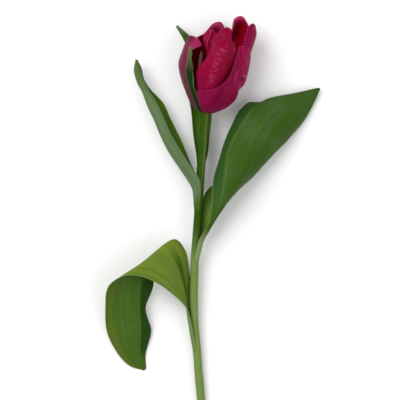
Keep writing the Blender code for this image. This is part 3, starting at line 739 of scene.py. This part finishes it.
def petal_paint(name, inner_side, inner, outer, rolled=None, marks=None):
    """Petal skin: fine lengthwise stripes, painted shade deep inside, paler rolled margin, painted
    highlight on the thin edges.
    """
    paint = PlantPaint(name)
    across, along = paint.attribute("across"), paint.attribute("along")
    side = paint.times(paint.attribute("side"), inner_side)
    stripes = fibre(paint, 34.0, 2.4, side, 3.0, 0.6)
    broad = fibre(paint, 6.0, 3.0, side)
    cloud = paint.noise(paint.place(), 90.0, 3.0)
    face = paint.mix(stripes, *inner)
    # Painted shade: the inner face darkens towards its foot, deep in the cup.
    face = paint.mix(paint.times(paint.ramp(along, 0.78, 0.6), 0.6), face, PAINTED_DEPTH_SHADE)
    edge = paint.math("ABSOLUTE", across)
    if rolled:
        turned = paint.math("MAXIMUM", paint.ramp(edge, 0.55, 0.85), paint.ramp(along, 0.86, 0.95))
        turned = paint.times(turned, paint.ramp(along, 0.6, 0.8))
        face = paint.mix(turned, face, paint.mix(stripes, *rolled))
    back = paint.mix(paint.times(paint.ramp(broad, 0.4, 0.75), 0.3),
                     paint.mix(stripes, *outer), BACK_BLUSH)
    colour = paint.mix(paint.ramp(side, -0.2, 0.2), back, face)
    # Painted highlight along the side edges and the tip of every petal.
    margin = paint.math("MAXIMUM", paint.ramp(edge, 0.975, 0.998), paint.ramp(along, 0.982, 0.999))
    colour = paint.mix(paint.times(margin, 0.3), colour, PAINTED_EDGE_HIGHLIGHT)
    if marks:
        colour = marks(paint, across, along, stripes, broad, colour)
    return paint.finish({
        "Base Color": colour, "Roughness": paint.ramp(stripes, 0.25, 0.75, 0.28, 0.42),
        "Normal": paint.bump(cloud, 0.5, 0.25, paint.bump(stripes, 0.35, 0.55)),
        "Specular IOR Level": 0.045})


def green_band(paint, across, along, stripes, broad, colour):
    """Coarse olive stripes, the wavy green front margin with its brown seam, and painted
    highlights on its very edge and on the rim of the curled tip.
    """
    coarse = fibre(paint, 15.0, 1.6)
    colour = paint.mix(paint.times(paint.ramp(coarse, 0.5, 0.6), 0.75), colour,
                       (0.04, 0.02, 0.012))
    colour = paint.mix(paint.times(paint.ramp(coarse, 0.47, 0.38), 0.75), colour,
                       (0.30, 0.025, 0.10))
    place = paint.math("ADD", across, paint.times(paint.math("SUBTRACT", broad, 0.5), 0.16))
    place = paint.math("ADD", place, paint.ramp(along, 0.58, 0.8, 0.0, 0.2))
    band = paint.ramp(place, -0.60, -0.63)
    green = paint.mix(stripes, (0.004, 0.012, 0.003), (0.016, 0.045, 0.008))
    green = paint.mix(paint.times(paint.ramp(along, 0.6, 0.85), 0.8), green, (0.11, 0.12, 0.05))
    seam = paint.times(paint.ramp(place, -0.565, -0.60), paint.ramp(place, -0.65, -0.61), 0.6)
    colour = paint.mix(band, colour, green)
    colour = paint.mix(seam, colour, (0.20, 0.13, 0.08))
    # Painted highlight along the very edge of the green band.
    rim = paint.times(paint.ramp(place, -0.95, -0.985), 0.6)
    colour = paint.mix(rim, colour, (0.10, 0.17, 0.06))
    curled = paint.times(paint.ramp(along, 0.885, 0.925), paint.ramp(across, -0.35, -0.6))
    colour = paint.mix(curled, colour,
                       paint.mix(stripes, (0.20, 0.005, 0.045), (0.34, 0.025, 0.095)))
    # Painted highlight on the rim of the curled tip.
    lit = paint.times(paint.ramp(along, 0.965, 0.99), paint.ramp(across, -0.4, -0.7), 0.5)
    return paint.mix(lit, colour, (0.50, 0.12, 0.22))


def petal(node, rails, waves, material, numbers, bend=None):
    """One petal: its middle surface, drawn, waved and bent, then grown into a blade."""
    grid = petal_middle(rails, waves)
    if bend:
        grid = bent(grid, bend)
    grow_blade(node, grid, PETAL_THICKNESS, PETAL_EDGE_THICKNESS, material,
               {**PETAL_RELIEF, **numbers})


outer_left_rails = [
    [(0.5, 240, 5.6), (3.3, 243, 10), (12, 239, 17.8), (24, 235, 25.3), (36, 231, 28.5),
     (48, 220, 27.5), (58, 208, 25.5)],
    [(0.5, 215, 5.6), (3.5, 218, 10), (12, 217, 17.5), (23, 215, 24.5), (35, 212, 29.5),
     (48, 207, 29), (60, 201, 26.5)],
    [(0.5, 190, 5.6), (3.5, 190, 10), (12, 190, 17.2), (23, 190, 24), (36, 189, 30),
     (48, 190, 29), (61, 192, 27)],
    [(0.5, 165, 5.6), (3.5, 164, 10.5), (12, 163, 18), (24, 162, 25.3), (36, 161, 29.5),
     (48, 163, 28.5), (60, 168, 27)],
    [(0.5, 140, 5.6), (3.5, 139, 11.5), (12, 138, 19), (24, 136, 26), (36, 136, 28.7),
     (48, 142, 28), (56, 152, 27)],
]
CRIMSON = ((0.15, 0.0006, 0.010), (0.26, 0.001, 0.026))


def band_waves(u, v):
    """Slack margins, and a green band that is waved and stands proud of the petal."""
    slack = 0.4 * np.abs(u) * np.sin(17 * v) * smooth(0.2, 0.6, v)
    wave = 0.6 * smooth(-0.55, -1.0, u) * np.sin(41 * v + 1) * smooth(0.1, 0.3, v)
    proud = 1.0 * smooth(-0.58, -0.72, u) * smooth(0.15, 0.4, v)
    return slack + wave + proud - 1.2 * smooth(-0.8, -1.0, u)


def curled_tip(u, v):
    """Front corner of the tip, curled over the opening."""
    right = (8.5 * smooth(0.89, 0.96, v) - 2.5 * smooth(0.95, 1.0, v)) * smooth(-0.1, -0.9, u)
    forward = 0.8 * smooth(0.87, 0.98, v) * smooth(0.2, -0.6, u)
    return right, forward, 2.0 * hill(0.94, 0.035, v) * smooth(-0.1, -0.8, u)


outer_left_paint = petal_paint(
    "outer_left_petal_skin", inner_side=1.0, inner=CRIMSON,
    outer=((0.06, 0.016, 0.014), (0.17, 0.008, 0.042)), marks=green_band)
petal("outer_left_petal", outer_left_rails, band_waves, outer_left_paint,
      {"Ribs": 70.0, "Pucker depth": 0.8, "Fine depth": 0.12, "Seed": 5.0}, curled_tip)

# Outer front petal
# Outer petal from the same rim that wraps the lower front of the cup, purple-magenta and
# grooved along its middle. It rises on the right to a blunt margin with a small curl.
CUP_PROFILE = [(0.5, 5.6), (3, 10.5), (7, 16.2), (12, 20.2), (18, 23.9), (24, 26), (31, 27.4),
               (38, 28.6), (45, 29.3), (52, 29.3), (58, 28.6), (64, 27.5)]
CUP_RAIL_POINTS = 8
CUP_RAIL_GATHER = 1.25
CURL_ACROSS = 0.53


def cup_rail(foot_azimuth, middle_azimuth, top):
    """Rail up the outside of the cup to its top, given as height, azimuth and radius."""
    heights, radii = zip(*CUP_PROFILE)
    rail = []
    for t in np.linspace(0.0, 1.0, CUP_RAIL_POINTS):
        height = heights[0] + (top[0] - heights[0]) * t ** CUP_RAIL_GATHER
        azimuth = spline([[foot_azimuth], [middle_azimuth], [top[1]]], np.array([t]))[0, 0]
        swell = (top[2] - np.interp(top[0], heights, radii)) * t * t
        rail.append((height, azimuth, np.interp(height, heights, radii) + swell))
    return rail


outer_front_rails = [
    cup_rail(256, 247, (17.0, 239, 20.2)), cup_rail(262, 262, (18.4, 258, 21.5)),
    cup_rail(270, 276, (21.3, 278, 23.8)), cup_rail(279, 288, (26.3, 292, 25.4)),
    cup_rail(288, 299, (34.2, 300, 27.8)), cup_rail(297, 307, (44.1, 302, 29.4)),
    cup_rail(306, 317, (58.3, 308, 27.8)), cup_rail(316, 330, (62.1, 322, 26.6)),
    cup_rail(327, 344, (60.2, 339, 27.6)), cup_rail(339, 358, (52.3, 352, 29.2)),
    cup_rail(352, 371, (50.0, 368, 28.6)),
]


def away(paint, value, middle, scale):
    """Square of a value's scaled distance from a middle, two of which draw an oval."""
    return paint.math("POWER", paint.times(paint.math("SUBTRACT", value, middle), scale), 2.0)


def grooves(paint, across, along, stripes, broad, colour):
    """Painted shade in the middle grooves, magenta right side, painted light and shade on the
    upper part, painted shadow under the curl and a painted highlight on it.
    """
    # Painted shade in the two grooves along the middle.
    middle = paint.times(paint.ramp(across, -0.62, -0.4), paint.ramp(across, -0.1, -0.3),
                         paint.ramp(along, 0.15, 0.45), paint.ramp(stripes, 0.35, 0.6), 0.75)
    colour = paint.mix(middle, colour, (0.13, 0.0004, 0.014))
    right = paint.times(paint.ramp(across, -0.05, 0.5), paint.ramp(along, 0.35, 0.6), 0.7)
    magenta = paint.mix(stripes, (0.22, 0.001, 0.035), (0.38, 0.003, 0.075))
    colour = paint.mix(right, colour, magenta)
    # Painted highlights and painted shade in soft patches over the upper right part.
    crumple_light = fibre(paint, 10.0, 4.5, 0.0, 2.0, 0.55, 0.9)
    upper = paint.times(paint.ramp(across, -0.2, 0.3), paint.ramp(along, 0.4, 0.65))
    colour = paint.mix(paint.times(upper, paint.ramp(crumple_light, 0.53, 0.70), 0.42), colour,
                       (0.48, 0.035, 0.14))
    colour = paint.mix(paint.times(upper, paint.ramp(crumple_light, 0.47, 0.32), 0.45), colour,
                       (0.12, 0.0004, 0.014))
    sideways = away(paint, across, CURL_ACROSS, 11.0)
    # Painted shadow under the curl.
    curl_shadow = paint.math("ADD", sideways, away(paint, along, 0.625, 45.0))
    curl_shadow = paint.times(paint.ramp(curl_shadow, 1.0, 0.1), 0.7)
    colour = paint.mix(curl_shadow, colour, (0.06, 0.0004, 0.008))
    # Painted highlight on the crest of the curl.
    curl = paint.math("ADD", sideways, away(paint, along, 0.668, 80.0))
    curl = paint.times(paint.ramp(curl, 1.0, 0.1), 0.5)
    return paint.mix(curl, colour, (0.45, 0.12, 0.20))


def groove_waves(u, v):
    """Slack sheet with two grooves along its middle, one on the right, and a small curl."""
    slack = 0.35 * np.sin(9 * u + 3) * np.sin(15 * v) * smooth(0.3, 0.8, v)
    middle = (0.7 * hill(-0.38, 0.035, u) + 0.5 * hill(-0.26, 0.03, u)) * smooth(0.1, 0.4, v)
    right = 1.1 * hill(0.28, 0.06, u) * smooth(0.5, 0.75, v)
    curl = (1.6 * hill(0.675, 0.025, v) - 1.3 * hill(0.625, 0.02, v)) * hill(CURL_ACROSS, 0.07, u)
    return slack - middle - right + curl


def drawn_in(u, v):
    """Waist of the right-hand margin."""
    return -2.2 * hill(0.56, 0.09, v) * smooth(0.2, 0.6, u), 0, 0


outer_front_paint = petal_paint(
    "outer_front_petal_skin", inner_side=-1.0, inner=CRIMSON,
    outer=((0.13, 0.0008, 0.022), (0.26, 0.004, 0.058)), marks=grooves)
petal("outer_front_petal", outer_front_rails, groove_waves, outer_front_paint,
      {"Rib height": 0.06, "Pucker scale": 75.0, "Pucker depth": 2.2, "Fine depth": 0.12,
       "Seed": 6.0}, drawn_in)

# Outer back petal
# The tallest of the three outer petals, from the same rim. It is behind the others, the
# part of the bloom that lies on the table, and its tip is hooded over a deep red hollow.
outer_back_rails = [
    [(0.5, 20, 5.6), (8, 24, 17), (20, 25, 25), (36, 27, 28.7), (50, 28, 29), (64, 30, 28),
     (74, 29, 27), (80, 24, 24)],
    [(0.5, 45, 5.6), (8, 46, 17), (20, 47, 25), (36, 47, 29.3), (50, 44, 29.3),
     (64, 40, 27.7), (78, 34, 23.0), (86, 27, 17.5)],
    [(0.5, 70, 5.6), (8, 70, 17), (20, 69, 25), (36, 68, 30), (50, 62, 29.8),
     (65, 51, 27.5), (79, 44, 21), (86, 37, 14.2)],
    [(0.5, 95, 5.6), (8, 93, 17), (20, 91, 25), (36, 89, 30), (50, 80, 29.5),
     (64, 62, 27.3), (76, 58, 22.5), (82.8, 59, 15)],
    [(0.5, 120, 5.6), (8, 116, 17), (20, 113, 24.5), (36, 109, 28.7), (48, 98, 28.7),
     (60, 74, 27.5), (69, 70, 25.5), (77, 72, 21.5)],
]
HOLLOW = ((0.28, 0.0006, 0.006), (0.44, 0.001, 0.02))
PURPLE = ((0.10, 0.012, 0.035), (0.19, 0.03, 0.075))
outer_back_paint = petal_paint(
    "outer_back_petal_skin", inner_side=-1.0, inner=HOLLOW, outer=PURPLE,
    rolled=((0.28, 0.010, 0.055), (0.42, 0.02, 0.085)))
petal("outer_back_petal", outer_back_rails,
      lambda u, v: 0.25 * np.abs(u) * np.sin(15 * v) * smooth(0.5, 0.9, v), outer_back_paint,
      {"Ribs": 70.0, "Seed": 7.0},
      lambda u, v: (0, 0, 10.0 * smooth(0.76, 0.95, v) - 4.0 * smooth(0.95, 1.0, v)))

# Inner front petal
# The front one of the three inner petals, which grow from the receptacle inside the outer
# ones. It bulges as a large glossy crimson lobe over the outer petal, is creased across
# near its top and shows a face above the crease.
inner_front_rails = [
    [(1.5, 205, 4.4), (8, 218, 11), (15, 224, 14.5), (22.6, 225, 17.3), (28.4, 228, 20.8),
     (33.7, 234, 22.6), (39.3, 239, 22.1), (44.7, 244, 19.8), (49.5, 241, 18), (53.3, 233, 18.1),
     (58.1, 226, 18.6), (63.1, 221, 18.6), (67.6, 221, 17.8)],
    [(1.5, 215, 4.4), (8, 228, 11.5), (17, 236, 16.5), (24.7, 237, 20.6), (30, 239, 23.6),
     (34.8, 241, 25.1), (40, 245, 24.5), (45.9, 251, 22.3), (51.1, 250, 20.7), (54.7, 245, 20.8),
     (60.1, 243, 20.5), (65.2, 244, 19.1), (70.6, 244, 17.9)],
    [(1.5, 232, 4.4), (8, 246, 12.2), (17, 255, 17.6), (24, 254, 21.6), (30.6, 253, 25.7),
     (37.6, 255, 28.2), (44.8, 258, 29.5), (52, 260, 29.3), (58.2, 261, 26.4), (56.9, 258, 22.1),
     (60.6, 255, 20.7), (63.6, 254, 19.6), (66.4, 256, 18.3)],
    [(1.5, 250, 4.4), (8, 264, 12.8), (17, 272, 18), (24.5, 271, 22.4), (32.1, 269, 27.2),
     (39.8, 268, 30), (47.6, 268, 31.3), (55.5, 269, 30.9), (61.7, 270, 27.2), (59.6, 271, 22.2),
     (63.5, 270, 20.6), (67.8, 270, 19.4), (71.6, 269, 17.8)],
    [(1.5, 268, 4.4), (8, 282, 13.2), (18, 290, 18.2), (27.6, 288, 22.6), (35.5, 285, 27.3),
     (43.2, 283, 29.7), (50.1, 283, 30.8), (57.1, 283, 30.8), (63.8, 285, 27.6),
     (61.5, 288, 22.8), (65.5, 285, 21.1), (70, 282, 19.7), (74.3, 280, 17.5)],
    [(1.5, 285, 4.4), (8, 298, 13), (20, 302, 18.4), (31, 301, 22.3), (38.5, 303, 25.1),
     (44.9, 303, 27.2), (51, 302, 27.9), (57.1, 302, 27.9), (62.2, 299, 25.5), (60.3, 301, 22.1),
     (65.1, 298, 20.8), (70.5, 296, 19.5), (76.2, 293, 17.5)],
]


def lobe_light_and_shade(paint, across, along, stripes, broad, colour):
    """Fine cross striae lightened as painted glints, painted highlights on the ridge and lower
    left, painted shade in the crease, the fold and at both margins.
    """
    lean = paint.math("ADD", paint.times(along, 46.0), paint.times(across, 5.0))
    cross = paint.noise(paint.combine(paint.times(across, 3.0), lean), 1.0, 3.0, 0.6, 0.4)
    # Painted shade towards the right margin, on the lower half.
    right = paint.times(paint.ramp(across, 0.5, 0.85), paint.ramp(along, 0.14, 0.25),
                        paint.ramp(along, 0.6, 0.5), 0.75)
    colour = paint.mix(right, colour, (0.15, 0.0003, 0.010))
    # Painted highlight along the ridge of the lobe, broken up by the striae.
    slant = paint.math("SUBTRACT", across, paint.times(along, 0.85))
    gap = paint.math("ABSOLUTE", paint.math("ADD", slant, 0.04))
    ridge = paint.times(paint.ramp(gap, 0.24, 0.02), paint.ramp(along, 0.2, 0.32),
                        paint.ramp(along, 0.66, 0.54), paint.ramp(cross, 0.40, 0.70), 0.45)
    colour = paint.mix(ridge, colour, (0.56, 0.065, 0.19))
    # Painted shade in the crease.
    crease = paint.times(paint.ramp(along, 0.665, 0.70), paint.ramp(along, 0.83, 0.75), 0.7)
    colour = paint.mix(crease, colour, (0.13, 0.0003, 0.010))
    # Painted highlight on the lower left of the lobe.
    low = paint.times(paint.ramp(across, 0.1, -0.5), paint.ramp(along, 0.24, 0.12), 0.5)
    colour = paint.mix(low, colour, (0.30, 0.03, 0.10))
    # Painted shade towards the left margin.
    left = paint.times(paint.ramp(across, -0.62, -0.92), paint.ramp(along, 0.72, 0.6), 0.7)
    colour = paint.mix(left, colour, (0.12, 0.0003, 0.008))
    # The fine striae are the petal's own, lightened here as painted glints.
    fine = paint.times(paint.ramp(cross, 0.5, 0.7), 0.22)
    colour = paint.mix(fine, colour, (0.40, 0.02, 0.11))
    # Painted shade in the groove between the fold and the face.
    fold = paint.times(paint.ramp(across, -0.62, -0.5), paint.ramp(across, -0.34, -0.46),
                       paint.ramp(along, 0.68, 0.76), 0.7)
    colour = paint.mix(fold, colour, (0.12, 0.0004, 0.012))
    # Painted highlight along the edge of the fold.
    line = paint.times(paint.ramp(across, -0.66, -0.64), paint.ramp(across, -0.605, -0.625),
                       paint.ramp(along, 0.7, 0.8), 0.35)
    return paint.mix(line, colour, (0.45, 0.06, 0.17))


def lobe_waves(u, v):
    """Slack sheet with one lengthwise fold above the crease."""
    fold = (0.9 * hill(-0.68, 0.1, u) - 1.3 * hill(-0.48, 0.08, u)) * smooth(0.66, 0.76, v)
    return 0.3 * np.sin(8 * u) * np.sin(12 * v) * smooth(0.4, 0.8, v) + fold


inner_front_paint = petal_paint(
    "inner_front_petal_skin", inner_side=-1.0, inner=CRIMSON,
    outer=((0.17, 0.0006, 0.014), (0.27, 0.001, 0.036)), marks=lobe_light_and_shade)
petal("inner_front_petal", inner_front_rails, lobe_waves, inner_front_paint,
      {"Rib height": 0.06, "Pucker scale": 70.0, "Pucker depth": 1.4, "Fine scale": 350.0,
       "Fine depth": 0.2, "Seed": 8.0})

# Inner right petal
# Inner petal on the right, seated like the front one. Its upper margin is rolled outward
# into a smooth magenta face.
inner_right_rails = [
    [(1.5, 330, 4.4), (10, 322, 14), (22, 318, 20.3), (36, 319, 23.6), (49, 322, 24.7),
     (60, 323, 25), (71, 323, 25), (82, 330, 23.5)],
    [(1.5, 345, 4.4), (10, 340, 14), (22, 338, 20.5), (36, 339, 24.5), (49, 340, 25.8),
     (60, 341, 27), (72, 342, 27.7), (82.3, 341, 25.6)],
    [(1.5, 360, 4.4), (10, 358, 14), (22, 358, 20.5), (36, 358, 24.8), (49, 358, 26.2),
     (60, 358, 27.8), (73, 358, 28.8), (80.5, 354, 26.9)],
    [(1.5, 378, 4.4), (10, 378, 14), (22, 378, 20.5), (36, 378, 24.5), (49, 377, 26),
     (60, 375, 26.8), (70, 372, 27.6), (77, 368, 27.3)],
    [(1.5, 400, 4.4), (10, 398, 13.5), (22, 396, 20), (36, 395, 24), (49, 393, 25.3),
     (58, 390, 25.5), (66, 386, 25.8), (71, 382, 26)],
]
inner_right_paint = petal_paint(
    "inner_right_petal_skin", inner_side=-1.0, inner=CRIMSON,
    outer=((0.17, 0.001, 0.024), (0.28, 0.002, 0.055)))
petal("inner_right_petal", inner_right_rails,
      lambda u, v: 0.35 * np.abs(u) * np.sin(19 * v + 2) * smooth(0.5, 0.9, v), inner_right_paint,
      {"Pucker depth": 0.7, "Seed": 9.0})

# Inner back petal
# Inner petal at the back on the left, seated like the other two. Its face is turned to
# the opening, red in its hollow, with a pink rolled rim and one raised corner.
inner_back_rails = [
    [(1.5, 80, 4.4), (10, 82, 14), (24, 84, 22), (40, 86, 25.3), (54, 87, 25), (66, 87, 23),
     (77.5, 84, 21.5)],
    [(1.5, 105, 4.4), (10, 104, 13.5), (24, 104, 21.8), (40, 104, 25.3), (54, 103, 25),
     (66, 101, 23), (78.8, 99, 21)],
    [(1.5, 130, 4.4), (10, 128, 13), (24, 126, 21.3), (40, 125, 25), (54, 122, 24.5),
     (66, 119, 22.5), (75, 116, 21.3)],
    [(1.5, 155, 4.4), (10, 153, 12.3), (24, 151, 20.8), (40, 150, 24.8), (52, 148, 24.5),
     (60, 140, 23.5), (65.5, 130, 23)],
    [(1.5, 180, 4.4), (10, 178, 12), (24, 176, 20.3), (38, 175, 24), (48, 172, 24),
     (55, 166, 23.5), (60.5, 157, 23.5)],
]


def raised_corner(u, v):
    """Right-hand corner raised towards the opening, and the rest of the tip a little."""
    corner = 17.0 * hill(0.86, 0.12, v) * smooth(0.3, 0.62, u)
    return 0, 0, corner + 5.0 * hill(0.94, 0.04, v)


inner_back_paint = petal_paint(
    "inner_back_petal_skin", inner_side=-1.0, inner=HOLLOW, outer=PURPLE,
    rolled=((0.22, 0.006, 0.045), (0.36, 0.016, 0.085)))
petal("inner_back_petal", inner_back_rails,
      lambda u, v: 0.2 * np.abs(u) * np.sin(13 * v + 1) * smooth(0.5, 0.9, v), inner_back_paint,
      {"Seed": 10.0}, raised_corner)

# Pistil
# The pale green waxy ovary on the middle of the receptacle, drawn round, with its stigma
# flared on top like a small crown.
PISTIL_PROFILE = [(3.3, 1.6), (5, 1.9), (9, 2.9), (15, 3.3), (21, 3.0), (24, 2.5),
                  (26, 2.6), (28, 3.6), (29.5, 3.9), (30.3, 2.6)]
PISTIL_RINGS = 48
PISTIL_SIDES = 36


def pistil_paint():
    """Pale green waxy ovary with fine specks, its stigma creamier."""
    paint = PlantPaint("pistil_skin")
    speck = paint.noise(paint.place(), 1800.0)
    colour = paint.mix(speck, (0.30, 0.40, 0.12), (0.45, 0.52, 0.22))
    stigma = paint.ramp(paint.attribute("along"), 0.75, 0.9)
    colour = paint.mix(stigma, colour, (0.62, 0.58, 0.30))
    return paint.finish({"Base Color": colour, "Roughness": 0.55,
                         "Normal": paint.bump(speck, 0.15, 0.5)})


rise = np.linspace(0.0, 1.0, PISTIL_RINGS)
profile = spline(PISTIL_PROFILE, rise)
axis_points = cup_points(profile[:, 0], 0.0 * rise, 0.0 * rise)
pistil_line = line_mesh("pistil", axis_points, profile[:, 1], {"along": rise})
pistil = grow("pistil_ovary", pistil_line, STALK, pistil_paint(), {"Sides": PISTIL_SIDES})
stand_for(pistil, "pistil")

# Stamens
# Six stamens round the pistil: a slim dark filament on the receptacle with a long brown
# anther that is covered in mealy pollen. The one at the left is the tallest.
STAMENS = 6
FIRST_AZIMUTH = 30
TALLEST = 3
TALL_REACH = 1.62
SEAT_HEIGHT = 3.27
SEAT_RADIUS = 2.75
RECEPTACLE_TILT = 0.15
FILAMENT = [(6, 4.1), (10, 6.0)]
ANTHER = [(14, 7.2), (17, 7.8), (23, 8.6), (29, 9.2), (31, 9.4)]
ANTHER_START = 0.47
ANTHER_FULL = 0.52
STAMEN_RADII = [0.6, 0.65, 0.7, 0.6, 1.5, 1.7, 1.3, 0.6]
LEAST_STAMEN_RADIUS = 0.45
STAMEN_RINGS = 44
STAMEN_SIDES = 16
GRAIN_RADIUS = 0.11
GRAINS_PER_SQUARE_METRE = 4.0e6
FIRST_SEED = 20


def mealy_stalk(tree, start):
    """Round stalk with pollen grains scattered over its anther."""
    skin = stalk(tree, start)
    density = sums(tree, "MULTIPLY", named(tree, "meal"), (start, "Grains per area"))
    scatter = add(tree, "GeometryNodeDistributePointsOnFaces",
                  {"Mesh": skin, "Density": density, "Seed": (start, "Seed")})
    grain = add(tree, "GeometryNodeMeshIcoSphere",
                {"Subdivisions": 1, "Radius": (start, "Grain size")})
    dust = add(tree, "GeometryNodeStoreNamedAttribute",
               {"Geometry": (grain, 0), "Name": "meal", "Value": 1.0}, data_type="FLOAT")
    sow = add(tree, "GeometryNodeInstanceOnPoints",
              {"Points": (scatter, 0), "Instance": (dust, 0)})
    both = add(tree, "GeometryNodeJoinGeometry", {0: (sow, 0)})
    give(tree, both, 0, skin)
    return both, 0


MEALY_STALK = geometry_tree("mealy_stamen", {
    "Sides": "Int", "Grain size": "Float", "Grains per area": "Float", "Seed": "Int"},
    mealy_stalk)


def stamen_paint():
    """Purple-black filament, brown mealy anther."""
    paint = PlantPaint("stamen_skin")
    grains = paint.noise(paint.place(), 2200.0)
    brown = paint.mix(grains, (0.09, 0.03, 0.018), (0.25, 0.11, 0.065))
    colour = paint.mix(paint.attribute("meal"), (0.05, 0.006, 0.02), brown)
    return paint.finish({"Base Color": colour, "Roughness": 0.85,
                         "Normal": paint.bump(grains, 0.2, 0.6)})


pollen = stamen_paint()
rise = np.linspace(0.0, 1.0, STAMEN_RINGS)
radii = np.maximum(spline([[radius] for radius in STAMEN_RADII], rise)[:, 0], LEAST_STAMEN_RADIUS)
for number in range(STAMENS):
    azimuth = FIRST_AZIMUTH + 360 / STAMENS * number
    reach = TALL_REACH if number == TALLEST else 1.0
    seat = SEAT_HEIGHT + RECEPTACLE_TILT * SEAT_RADIUS * math.cos(math.radians(azimuth))
    anther = [(height * reach, radius * reach) for height, radius in ANTHER]
    path = spline([(seat, SEAT_RADIUS)] + FILAMENT + anther, rise)
    centres = cup_points(path[:, 0], azimuth + 0 * rise, path[:, 1])
    meal = smooth(ANTHER_START, ANTHER_FULL, rise)
    stamen_line = line_mesh("stamen", centres, radii, {"meal": meal})
    stamen = grow(f"stamen_{number + 1}_stalk", stamen_line, MEALY_STALK, pollen,
                  {"Sides": STAMEN_SIDES, "Grain size": GRAIN_RADIUS * MM,
                   "Grains per area": GRAINS_PER_SQUARE_METRE, "Seed": FIRST_SEED + number})
    stand_for(stamen, f"stamen_{number + 1}")
